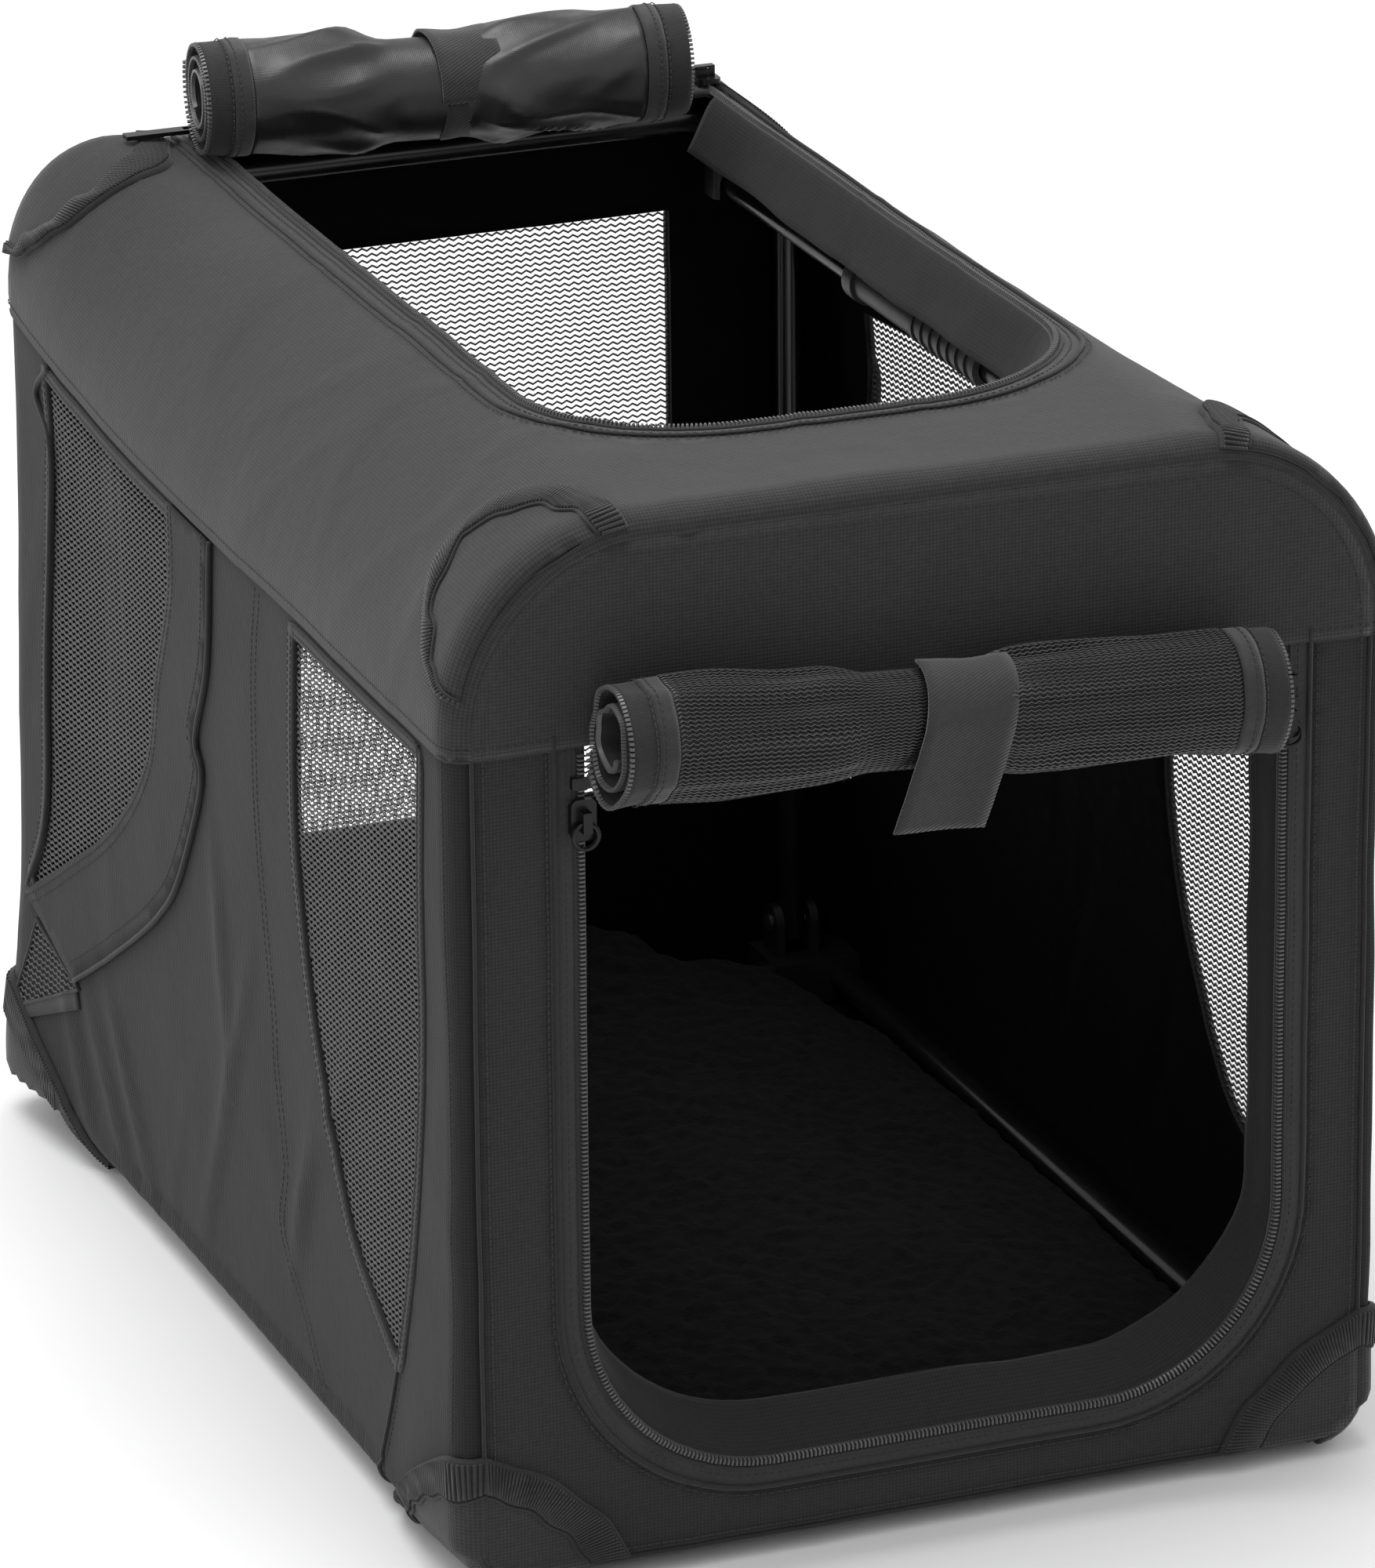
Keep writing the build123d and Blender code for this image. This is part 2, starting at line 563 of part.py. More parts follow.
for side, s in SIDES:
    track_x = DOOR_X + s * FRONT_TRACK
    face = Plane(origin=(track_x, -LENGTH / 2, FRONT_SLIDER_Z), x_dir=(1, 0, 0), z_dir=(0, -1, 0))
    top_y = LENGTH / 2 + SLIDER_BASE + SLIDER_T
    with BuildPart() as slider:
        add(zip_slider(face))
        # bridge over the pull's wire
        with BuildSketch(Plane.YZ.offset(track_x - BRIDGE_T / 2)):
            with Locations((-top_y - BRIDGE_H / 2 + 0.2, FRONT_SLIDER_Z)):
                Rectangle(BRIDGE_H, BRIDGE_W)
            with Locations((-top_y - WIRE_UP, FRONT_SLIDER_Z - WIRE_IN)):
                Circle(RING_WIRE + 0.7, mode=Mode.SUBTRACT)
        extrude(amount=BRIDGE_T)
    save(slider.part, f"front_zip_slider_{side}")

    ring_centre = (track_x, -top_y - WIRE_UP, FRONT_SLIDER_Z - WIRE_IN - RING_R)
    with BuildPart() as ring:
        with Locations(Location(ring_centre, (90, 0, 0))):
            Torus(RING_R, RING_WIRE)
    save(ring.part, f"front_zip_ring_{side}")

    track_x = HATCH_X + s * TOP_TRACK
    wire_x = track_x + s * WIRE_IN
    deck = Plane(origin=(track_x, TOP_SLIDER_Y, HEIGHT), x_dir=(1, 0, 0), z_dir=(0, 0, 1))
    top_z = HEIGHT + SLIDER_BASE + SLIDER_T
    with BuildPart() as top_slider:
        add(zip_slider(deck))
        with BuildSketch(Plane.XZ.offset(-TOP_SLIDER_Y - BRIDGE_T / 2)):
            with Locations((track_x, top_z + BRIDGE_H / 2 - 0.2)):
                Rectangle(BRIDGE_W, BRIDGE_H)
            with Locations((wire_x, top_z + WIRE_UP)):
                Circle(PULL_PIN_R + 0.6, mode=Mode.SUBTRACT)
        extrude(amount=BRIDGE_T)
    save(top_slider.part, f"top_zip_slider_{side}")

    # pull tab: a wire through the bridge and a flat bar lying on the roof
    with BuildPart() as tab:
        with Locations((wire_x, TOP_SLIDER_Y, top_z + WIRE_UP)):
            Cylinder(PULL_PIN_R, TAB[1], rotation=(90, 0, 0))
        for arm in (-1, 1):
            arm_y = TOP_SLIDER_Y + arm * (TAB[1] - TAB_ARM[1]) / 2
            with Locations((wire_x + TAB_WAY * TAB_ARM[0] / 2, arm_y, top_z + WIRE_UP)):
                Box(*TAB_ARM)
        with Locations((wire_x + TAB_WAY * (TAB_ARM[0] - 1.0 + TAB[0] / 2), TOP_SLIDER_Y, top_z + WIRE_UP)):
            Box(*TAB)
    save(tab.part, f"top_zip_tab_{side}")

# clamped stops at the upper ends of the door zip
with BuildPart() as zip_stops:
    for s in (-1, 1):
        with BuildSketch(Plane.XY.offset(ZIP_STOP_Z)):
            track_x = DOOR_X + s * FRONT_TRACK
            with Locations((track_x, -LENGTH / 2 - SLIDER_CLEAR - ZIP_STOP[1] / 2)):
                Rectangle(ZIP_STOP[0], ZIP_STOP[1])
            with Locations((track_x, -LENGTH / 2 - COIL_T / 2)):
                Rectangle(COIL_W + 0.3, COIL_T + 0.3, mode=Mode.SUBTRACT)
        extrude(amount=ZIP_STOP[2])
save(zip_stops.part, "front_zip_stops")

# ---- rolled flaps and their straps --------------------------------------------------
front_roll_y = -LENGTH / 2 - COIL_T - ROLL_GAP - FRONT_ROLL_R
FRONT_ROLL_ENDS = [Vector(x, front_roll_y, z) for x, z in zip(FRONT_ROLL_X, FRONT_ROLL_Z)]
TOP_ROLL_ENDS = [Vector(x, y, TOP_ROLL_Z) for x, y in zip(TOP_ROLL_X, TOP_ROLL_Y)]


def roll_plane(ends, x):
    """Cross plane of a roll at a place along X: its own x points back, its y up."""
    axis = ends[1] - ends[0]
    origin = ends[0] + axis * ((x - ends[0].X) / axis.X)
    back = Vector(0, 0, 1).cross(axis)
    return Plane(origin=origin, x_dir=back, z_dir=axis)


with BuildPart() as front_door_roll:
    with BuildSketch(roll_plane(FRONT_ROLL_ENDS, FRONT_ROLL_X[0])):
        Circle(FRONT_ROLL_R)
    extrude(amount=(FRONT_ROLL_ENDS[1] - FRONT_ROLL_ENDS[0]).length)
save(front_door_roll.part, "front_door_roll")

with BuildPart() as front_roll_strap:
    strap_r = FRONT_ROLL_R + ROLL_GAP
    with BuildSketch(roll_plane(FRONT_ROLL_ENDS, FRONT_STRAP_X)):
        Circle(strap_r + STRAP_T)
        Circle(strap_r, mode=Mode.SUBTRACT)
        # open behind the roll
        with Locations((strap_r, 0)):
            Rectangle(2 * strap_r, 4 * strap_r, mode=Mode.SUBTRACT)
        with Locations((-strap_r - STRAP_T / 2, -FRONT_STRAP_TAIL / 2)):
            Rectangle(STRAP_T, FRONT_STRAP_TAIL)
    extrude(amount=FRONT_STRAP_W)
save(front_roll_strap.part, "front_roll_strap")

with BuildPart() as top_flap_roll:
    with BuildSketch(roll_plane(TOP_ROLL_ENDS, TOP_ROLL_X[0])):
        Circle(TOP_ROLL_R)
    extrude(amount=(TOP_ROLL_ENDS[1] - TOP_ROLL_ENDS[0]).length)
save(top_flap_roll.part, "top_flap_roll")

with BuildPart() as top_roll_strap:
    strap_r = TOP_ROLL_R + ROLL_GAP
    with BuildSketch(roll_plane(TOP_ROLL_ENDS, TOP_STRAP_X)):
        Circle(strap_r + STRAP_T)
        Circle(strap_r, mode=Mode.SUBTRACT)
        # open below the roll
        with Locations((0, -strap_r)):
            Rectangle(4 * strap_r, 2 * strap_r, mode=Mode.SUBTRACT)
    extrude(amount=TOP_STRAP_W)
save(top_roll_strap.part, "top_roll_strap")

# ---- corner patches -------------------------------------------------------------------
PATCH_T = 1.2
PATCH_LENGTH = 58.0
FOOT_PATCH_H = 46.0
PATCH_GAP = 0.2
PATCH_INSET = 12.0  # the roof patches start this far outside the roof's flat
with BuildPart() as top_patches:
    for s in (-1, 1):
        centre = (s * (WIDTH / 2 - TOP_RADIUS), HEIGHT - TOP_RADIUS)
        for end_y in (-LENGTH / 2 + 1.0, LENGTH / 2 - 1.0 - PATCH_LENGTH):
            with BuildSketch(Plane.XZ.offset(-end_y - PATCH_LENGTH)):
                with Locations(centre):
                    Circle(TOP_RADIUS + PATCH_GAP + PATCH_T)
                    Circle(TOP_RADIUS + PATCH_GAP, mode=Mode.SUBTRACT)
                with Locations((centre[0] - s * (TOP_RADIUS - PATCH_INSET), centre[1])):
                    Rectangle(2 * TOP_RADIUS, 4 * TOP_RADIUS, mode=Mode.SUBTRACT)
                with Locations((centre[0], centre[1] - 2 * TOP_RADIUS)):
                    Rectangle(4 * TOP_RADIUS, 4 * TOP_RADIUS, mode=Mode.SUBTRACT)
            extrude(amount=PATCH_LENGTH)
save(top_patches.part, "top_corner_patches")

with BuildPart() as foot_patches:
    for s in (-1, 1):
        for end_y in (-LENGTH / 2, LENGTH / 2 - PATCH_LENGTH):
            with BuildSketch(Plane.XY.offset(WALL_FOOT_Z)):
                with Locations((s * (WIDTH / 2 + PATCH_GAP + PATCH_T / 2), end_y + PATCH_LENGTH / 2)):
                    Rectangle(PATCH_T, PATCH_LENGTH)
            extrude(amount=FOOT_PATCH_H)
save(foot_patches.part, "foot_corner_patches")
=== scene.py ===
"""Looks of the soft-sided folding pet carrier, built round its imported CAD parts.

Metres. +X is the carrier's right seen from the door, -Y the door end, +Z up.
"""

import math

import bpy
import numpy as np
from mathutils import Matrix, Vector, noise
from mathutils.geometry import delaunay_2d_cdt


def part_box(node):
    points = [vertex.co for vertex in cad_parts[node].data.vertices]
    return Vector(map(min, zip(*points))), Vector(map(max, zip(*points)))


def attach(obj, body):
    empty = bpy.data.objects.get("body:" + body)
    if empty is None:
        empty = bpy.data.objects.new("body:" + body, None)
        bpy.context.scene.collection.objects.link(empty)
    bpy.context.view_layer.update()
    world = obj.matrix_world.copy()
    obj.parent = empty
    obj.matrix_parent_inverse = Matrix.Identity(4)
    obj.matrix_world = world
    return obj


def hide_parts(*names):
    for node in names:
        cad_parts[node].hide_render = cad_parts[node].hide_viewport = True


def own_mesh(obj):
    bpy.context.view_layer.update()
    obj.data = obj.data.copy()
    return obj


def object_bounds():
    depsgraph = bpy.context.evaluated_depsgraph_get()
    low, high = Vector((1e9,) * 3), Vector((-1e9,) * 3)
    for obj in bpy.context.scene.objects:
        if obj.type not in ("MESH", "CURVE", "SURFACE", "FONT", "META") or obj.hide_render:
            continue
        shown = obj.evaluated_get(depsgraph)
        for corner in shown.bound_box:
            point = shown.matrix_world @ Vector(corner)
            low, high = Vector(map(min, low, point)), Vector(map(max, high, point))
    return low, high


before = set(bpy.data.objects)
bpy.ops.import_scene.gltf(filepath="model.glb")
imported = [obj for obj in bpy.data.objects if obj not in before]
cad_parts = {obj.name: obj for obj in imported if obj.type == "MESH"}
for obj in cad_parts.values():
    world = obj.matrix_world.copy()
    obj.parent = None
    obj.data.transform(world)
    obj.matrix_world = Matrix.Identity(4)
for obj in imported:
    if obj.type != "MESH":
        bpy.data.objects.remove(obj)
cad_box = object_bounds()
PI = math.pi

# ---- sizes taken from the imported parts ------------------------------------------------
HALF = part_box("side_panel_right")[1].x
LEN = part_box("back_panel")[1].y
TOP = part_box("roof_panel")[1].z
SEAM_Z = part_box("roof_panel")[0].z
R_TOP = 0.085  # rounding of the roof over the side walls
R_FOOT = 0.025
R_END = 0.009  # rounding of the edges round the two end faces
ZIP_KEEP = 0.138  # the roof stays put this far out from its middle, beside the hatch zip
CLOTH = 0.0032  # padded wall

COIL_LO, COIL_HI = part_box("front_zip_coil")
COIL_HALF = 0.003  # from a coil's middle to its edge
DOOR_X = (COIL_LO.x + COIL_HI.x) / 2
DOOR_TRACK = (COIL_HI.x - COIL_LO.x) / 2 - COIL_HALF  # from the middle of the door to the middle of its zip
DOOR_FOOT = COIL_LO.z + COIL_HALF
DOOR_HEAD = SEAM_Z - 0.002  # the rolled door hides where the zip goes on above
DOOR_R = 0.083
HATCH_LO, HATCH_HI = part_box("top_zip_coil")
HATCH_X = (HATCH_LO.x + HATCH_HI.x) / 2
HATCH_TRACK = (HATCH_HI.x - HATCH_LO.x) / 2 - COIL_HALF
HATCH_NOSE = HATCH_LO.y + COIL_HALF
HATCH_TAIL = HATCH_HI.y
HATCH_R = 0.071
HATCH_WIDER = 0.020  # the hatch's right front corner is sewn rounder
HATCH_END = 0.262  # the flap is sewn on here


# ---- materials ------------------------------------------------------------------------
class Nodes:
    """A material's node tree with short ways to add and join nodes."""

    def __init__(self, name):
        self.mat = bpy.data.materials.new(name)
        self.mat.use_nodes = True
        self.tree = self.mat.node_tree
        self.tree.nodes.clear()
        self.out = self.tree.nodes.new("ShaderNodeOutputMaterial")
        self.bsdf = self.tree.nodes.new("ShaderNodeBsdfPrincipled")
        self.link(self.bsdf.outputs[0], self.out.inputs[0])

    def link(self, a, b):
        self.tree.links.new(a, b)

    def put(self, socket, value):
        if isinstance(value, bpy.types.NodeSocket):
            self.link(value, socket)
        else:
            socket.default_value = value

    def math(self, kind, a, b=0.0, c=None):
        node = self.tree.nodes.new("ShaderNodeMath")
        node.operation = kind
        self.put(node.inputs[0], a)
        self.put(node.inputs[1], b)
        if c is not None:
            self.put(node.inputs[2], c)
        return node.outputs[0]

    def coords(self, kind="UV"):
        return self.tree.nodes.new("ShaderNodeTexCoord").outputs[kind]

    def axes(self, vector):
        node = self.tree.nodes.new("ShaderNodeSeparateXYZ")
        self.link(vector, node.inputs[0])
        return node.outputs

    def noise(self, vector, scale, detail=3.0, rough=0.55):
        node = self.tree.nodes.new("ShaderNodeTexNoise")
        self.link(vector, node.inputs["Vector"])
        node.inputs["Scale"].default_value = scale
        node.inputs["Detail"].default_value = detail
        node.inputs["Roughness"].default_value = rough
        return node.outputs[0]

    def ramp(self, fac, low, high, colours):
        node = self.tree.nodes.new("ShaderNodeValToRGB")
        self.link(fac, node.inputs[0])
        for stop, at, colour in zip(node.color_ramp.elements, (low, high), colours):
            stop.position = at
            stop.color = (*colour, 1.0)
        return node.outputs[0]

    def span(self, fac, low, high, to_low, to_high):
        node = self.tree.nodes.new("ShaderNodeMapRange")
        self.put(node.inputs[0], fac)
        for k, value in enumerate((low, high, to_low, to_high)):
            node.inputs[k + 1].default_value = value
        return node.outputs[0]

    def mix(self, fac, a, b, kind="MIX"):
        node = self.tree.nodes.new("ShaderNodeMix")
        node.data_type = "RGBA"
        node.blend_type = kind
        self.put(node.inputs[0], fac)
        self.put(node.inputs[6], a)
        self.put(node.inputs[7], b)
        return node.outputs[2]

    def bump(self, height, distance, strength=1.0, under=None):
        node = self.tree.nodes.new("ShaderNodeBump")
        self.put(node.inputs["Height"], height)
        node.inputs["Distance"].default_value = distance
        node.inputs["Strength"].default_value = strength
        if under is not None:
            self.link(under, node.inputs["Normal"])
        return node.outputs[0]

    def set(self, **values):
        for key, value in values.items():
            self.put(self.bsdf.inputs[key.replace("_", " ")], value)
        return self.mat


def weave_height(n, pitch):
    """Plain weave: warp and weft threads that pass over each other in turn."""
    u, v, _ = n.axes(n.coords())
    a = n.math("SINE", n.math("MULTIPLY", n.math("ADD", u, v), PI / pitch))
    b = n.math("SINE", n.math("MULTIPLY", n.math("SUBTRACT", u, v), PI / pitch))
    return n.math("MULTIPLY_ADD", n.math("MULTIPLY", a, b), 0.5, 0.5)


def grey(value, tint=(1.0, 1.0, 1.0)):
    """A grey of this brightness, tinted."""
    return tuple(value * t for t in tint)


def cloth_material(name, value, sheen, pitch=0.0016, rough=0.86):
    """Polyester oxford: woven bump, uneven dye, painted shade in the hollows of the weave and painted light on
    its threads.
    """
    n = Nodes(name)
    tint = (1.0, 0.985, 1.02)
    place = n.coords("Object")
    weave = weave_height(n, pitch)
    cloud = n.noise(place, 11.0, 4.0)
    fleck = n.noise(place, 420.0, 2.0)
    base = n.ramp(cloud, 0.3, 0.7, (grey(value * 0.86, tint), grey(value * 1.12, tint)))
    # painted light and shade: the colour follows the weave's height, darker in its hollows and lighter on the
    # threads
    threads = n.span(weave, 0.0, 1.0, 0.62, 1.3)
    specks = n.span(fleck, 0.3, 0.7, 0.88, 1.12)
    shade = n.math("MULTIPLY", threads, specks)
    colour = n.mix(1.0, base, shade, "MULTIPLY")
    fine = n.bump(weave, 0.00035, 0.55)
    normal = n.bump(n.noise(place, 60.0, 4.0), 0.0012, 0.35, fine)
    return n.set(
        Base_Color=colour,
        Roughness=n.span(cloud, 0.3, 0.7, rough - 0.05, rough + 0.05),
        Sheen_Weight=sheen,
        Sheen_Roughness=0.45,
        Specular_IOR_Level=0.3,
        Normal=normal,
    )


def coated_material(name, value, rough, wrinkle=0.0012, gloss=0.55):
    """PU-coated side of the cloth: smooth, a dull gloss, small crumples, painted darker in their hollows and
    lighter on their crests.
    """
    n = Nodes(name)
    place = n.coords("Object")
    weave = weave_height(n, 0.0009)
    crumple = n.noise(place, 26.0, 4.0, 0.5)
    fine = n.bump(weave, 0.00012, 0.35)
    normal = n.bump(crumple, wrinkle, 0.6, fine)
    return n.set(
        # painted shade: the colour follows the crumples' height, darker in their hollows
        Base_Color=n.ramp(crumple, 0.3, 0.75, (grey(value * 0.8), grey(value * 1.25))),
        Roughness=n.span(n.noise(place, 90.0), 0.3, 0.7, rough - 0.07, rough + 0.09),
        Specular_IOR_Level=gloss,
        Normal=normal,
    )


def webbing_material(name, value, rib=0.0016):
    """Woven tape: ribs across its width with a fine herringbone, painted darker in the grooves between the
    ribs.
    """
    n = Nodes(name)
    u, v, _ = n.axes(n.coords())
    place = n.coords("Object")
    slant = n.math("ADD", n.math("MULTIPLY", u, 2 * PI / rib), n.math("MULTIPLY", v, 1.2 * PI / rib))
    ribs = n.math("MULTIPLY_ADD", n.math("SINE", slant), 0.5, 0.5)
    speck = n.noise(place, 500.0, 2.0)
    # painted shade: the colour follows the ribs' height, darker in the grooves; the specks are random
    tone = n.math("MULTIPLY", n.span(ribs, 0.0, 1.0, 0.75, 1.15), n.span(speck, 0.3, 0.7, 0.85, 1.15))
    base = n.ramp(n.noise(place, 14.0), 0.3, 0.7, (grey(value * 0.9), grey(value * 1.1)))
    return n.set(
        Base_Color=n.mix(1.0, base, tone, "MULTIPLY"),
        Roughness=0.78,
        Sheen_Weight=0.25,
        Specular_IOR_Level=0.3,
        Normal=n.bump(ribs, 0.0003, 0.6),
    )


def fleece_material(name, value):
    """Short pile: soft clumps with painted light on the tufts' tops and painted shade between them, very matt.
    """
    n = Nodes(name)
    place = n.coords("Object")
    clump = n.noise(place, 240.0, 5.0, 0.65)
    fibre = n.noise(place, 900.0, 3.0, 0.7)
    # painted light and shade: the colour follows the pile's height, lighter on the tufts and darker between
    # them
    tone = n.math("MULTIPLY", n.span(clump, 0.3, 0.7, 0.2, 1.9), n.span(fibre, 0.3, 0.7, 0.5, 1.5))
    soft = n.bump(clump, 0.0025, 0.8)
    return n.set(
        Base_Color=n.mix(1.0, (*grey(value, (0.95, 1.0, 1.05)), 1.0), tone, "MULTIPLY"),
        Roughness=0.95,
        Sheen_Weight=0.02,
        Sheen_Roughness=0.6,
        Specular_IOR_Level=0.1,
        Normal=n.bump(fibre, 0.0012, 0.8, soft),
    )


def hard_material(name, colour, rough, metal=0.0, grain=260.0, depth=0.00008, wear=None, coat=0.0):
    """Lacquer, moulded plastic or metal with fine grain, smudges and worn edges."""
    n = Nodes(name)
    place = n.coords("Object")
    smudge = n.noise(place, 24.0, 4.0)
    speck = n.noise(place, grain, 3.0)
    base = n.ramp(smudge, 0.3, 0.7, (tuple(c * 0.85 for c in colour), tuple(c * 1.15 for c in colour)))
    if wear is not None:
        edge = n.tree.nodes.new("ShaderNodeNewGeometry").outputs["Pointiness"]
        worn = n.math("MULTIPLY", n.span(edge, 0.52, 0.6, 0.0, 0.7), n.span(speck, 0.4, 0.6, 0.0, 1.0))
        base = n.mix(worn, base, (*wear, 1.0))
    return n.set(
        Base_Color=base,
        Metallic=metal,
        Roughness=n.span(smudge, 0.3, 0.7, rough - 0.05, rough + 0.07),
        Coat_Weight=coat,
        Normal=n.bump(speck, depth, 0.6),
    )


OXFORD = cloth_material("oxford", 0.026, 0.14)
# the same oxford made darker for the door end's lower face: painted shade
OXFORD_FRONT_PAINTED_SHADE = cloth_material("oxford_front_painted_shade", 0.019, 0.10)
# the same oxford made darker for the side walls, window straps and hems inside the openings: painted shade
OXFORD_SIDE_PAINTED_SHADE = cloth_material("oxford_side_painted_shade", 0.0115, 0.07)
BINDING = cloth_material("binding", 0.017, 0.14, pitch=0.0008, rough=0.8)
TAPE = webbing_material("zip_tape", 0.020, rib=0.0009)
# near-black inner side of the cloth: painted shade for the dark inside of the cabin
LINING_PAINTED_SHADE = coated_material("lining_painted_shade", 0.0009, 0.8, wrinkle=0.001, gloss=0.08)
FLAP = coated_material("flap_cloth", 0.0075, 0.37)
STRAP = webbing_material("strap_webbing", 0.022)
HOOK = webbing_material("hook_patch", 0.018, rib=0.0022)
THREAD = hard_material("sewing_thread", (0.020, 0.020, 0.021), 0.7)
NET = hard_material("mesh_thread", (0.085, 0.084, 0.087), 0.58)
ROLL_NET = hard_material("mesh_thread_layers", (0.030, 0.030, 0.031), 0.22, coat=0.5)
# near-black sheet under the door roll's mesh: it stands for the mesh's inner layers and, as painted shade, the
# shade among them
NET_BASE_PAINTED_SHADE = coated_material("mesh_layers_painted_shade", 0.004, 0.5, wrinkle=0.0006)
TEETH = hard_material("coil_teeth", (0.075, 0.075, 0.078), 0.36)
# black fleece, darkened further to hold the shade inside the cabin: painted shade
FLEECE_PAINTED_SHADE = fleece_material("fleece", 0.0011)
# black lacquer, darkened further for the shade inside the cabin: painted shade
TUBE_LACQUER_AND_PAINTED_SHADE = hard_material("black_lacquer_and_painted_shade", (0.005, 0.005, 0.0055), 0.24, depth=0.00003)
# black plastic, darkened further for the shade inside the cabin: painted shade
PLASTIC_AND_PAINTED_SHADE = hard_material("moulded_plastic_and_painted_shade", (0.003, 0.003, 0.0032), 0.5)
GRIP = hard_material("grip_plastic", (0.016, 0.016, 0.017), 0.4, wear=(0.04, 0.04, 0.04))
METAL = hard_material("black_nickel", (0.022, 0.022, 0.023), 0.3, metal=0.85)
ZINC = hard_material("dull_zinc", (0.10, 0.10, 0.105), 0.45, metal=0.9)
BOARD = hard_material("floor_board", (0.008, 0.0076, 0.007), 0.8, grain=120.0, depth=0.0002)


# ---- shape of the cabin ---------------------------------------------------------------
FLAT = HALF - R_TOP
ARC = R_TOP * PI / 2
WALL = TOP - R_TOP - R_FOOT
FOOT_ARC = R_FOOT * PI / 2
WALL_START = FLAT + ARC
FOOT_START = WALL_START + WALL
UNDER_START = FOOT_START + FOOT_ARC
END_V = LEN - R_END + R_END * PI / 2  # where the sheets meet the end faces


def section(u):
    """Point (x, z) and outward normal of the cabin's cross section, u across it from the ridge."""
    side = 1.0 if u >= 0 else -1.0
    s = abs(u)
    if s < FLAT:
        return side * s, TOP, 0.0, 1.0
    if s < WALL_START:
        a = (s - FLAT) / R_TOP
        x, z = FLAT + R_TOP * math.sin(a), TOP - R_TOP + R_TOP * math.cos(a)
        return side * x, z, side * math.sin(a), math.cos(a)
    if s < FOOT_START:
        return side * HALF, TOP - R_TOP - (s - WALL_START), side, 0.0
    if s < UNDER_START:
        a = (s - FOOT_START) / R_FOOT
        reach = HALF - R_FOOT + R_FOOT * math.cos(a)
        return side * reach, R_FOOT - R_FOOT * math.sin(a), side * math.cos(a), -math.sin(a)
    return side * (HALF - R_FOOT - (s - UNDER_START)), 0.0, 0.0, -1.0


def wrinkle(p):
    """Small slack waves and soft creases in the cloth at a point."""
    wave = 0.0011 * noise.noise(p * 8.0) + 0.0005 * noise.noise(p * 21.0 + Vector((3, 7, 1)))
    crease = noise.noise(Vector((p.x * 16.0, p.y * 10.0, p.z * 7.0 + p.y * 9.0)))
    return wave + 0.0009 * max(0.0, 1.0 - 7.0 * abs(crease)) * (0.4 + noise.noise(p * 5.0))


CREASES = (  # soft folds on the side walls, from (y, z) to (y, z)
    ((0.212, 0.090), (0.150, 0.014)),
    ((0.186, 0.104), (0.118, 0.016)),
    ((0.236, 0.086), (0.196, 0.012)),
    ((0.030, 0.230), (0.012, 0.120)),
    ((-0.020, 0.190), (0.048, 0.030)),
    ((-0.105, 0.150), (-0.075, 0.060)),
)
BULGES = (  # the cloth stands out here: middle (x, y, z), reach, height
    ((-0.200, 0.285, 0.030), 0.055, 0.0085),
    ((-0.180, 0.262, 0.440), 0.060, 0.0045),
    ((0.185, 0.285, 0.445), 0.090, -0.0035),
    ((-0.205, -0.262, 0.050), 0.045, 0.0025),
    ((-0.175, -0.262, 0.448), 0.045, 0.0030),
)


def outer_share(x):
    """0 over the hatch and its zip, rising to 1 at the side walls."""
    return min(1.0, max(0.0, (abs(x) - ZIP_KEEP) / (HALF - ZIP_KEEP)))


def racked(p):
    """The rear end stands a little skewed: its left shoulder up and back, its right wall drawn in."""
    if p.y < 0:
        return Vector((0.0, 0.0, 0.0))
    w = (p.y / LEN) ** 2 * outer_share(p.x)
    high = max(0.0, p.z / TOP)
    if p.x < 0:
        return Vector((w * (0.012 * high - 0.006), 0.008 * w * high, 0.024 * w * high))
    return Vector((-0.016 * w * min(1.0, max(0.0, p.z) / 0.15), -0.004 * w * high, -0.008 * w * high))


def crease(p):
    """Height of the soft folds near a point on a side wall."""
    total = 0.0
    for (y0, z0), (y1, z1) in CREASES:
        line = Vector((y1 - y0, z1 - z0))
        off = Vector((p.y - y0, p.z - z0))
        t = min(1.0, max(0.0, off.dot(line) / line.length_squared))
        gap = (off - line * t).length / 0.006
        total += 0.0021 * math.sin(PI * (0.1 + 0.8 * t)) * math.exp(-gap * gap)
    return total


def slack(p, n):
    """How far the cloth stands out: it is drawn taut over the end frames and sags between them."""
    mid = max(0.0, 1.0 - (p.y / LEN) ** 2)
    shoulder = 2.0 * abs(n.x * n.z)
    wall = abs(n.x) * math.sin(PI * min(1.0, max(0.0, p.z / SEAM_Z)))
    under = 0.0 if n.z > -0.2 else 1.0
    slump = 0.0035 * shoulder * (1.5 + p.y / LEN) if p.x > 0 else 0.0
    sag = (mid * (0.0015 + 0.0062 * shoulder + 0.004 * wall) + slump) * (1.0 - under)
    face = abs(n.y) * (1.0 - (p.x / HALF) ** 2) * math.sin(PI * min(1.0, max(0.0, p.z / TOP)))
    lifted = 0.003 * under * min(1.0, max(0.0, (abs(p.y) - 0.24) / 0.05))
    bulge = sum(h * math.exp(-((p - Vector(c)).length / r) ** 2) for c, r, h in BULGES) * (1.0 - under)
    if p.z > SEAM_Z:
        bulge *= min(1.0, 3.0 * outer_share(p.x))
    folds = wrinkle(p) * (1.0 - 0.9 * under) + crease(p) * abs(n.x)
    return folds + bulge - lifted - sag - (0.003 * face if p.y > 0 else 0.0008 * face)


def grounded(p):
    """Nothing reaches below the ground."""
    return Vector((p.x, p.y, max(0.0, p.z)))


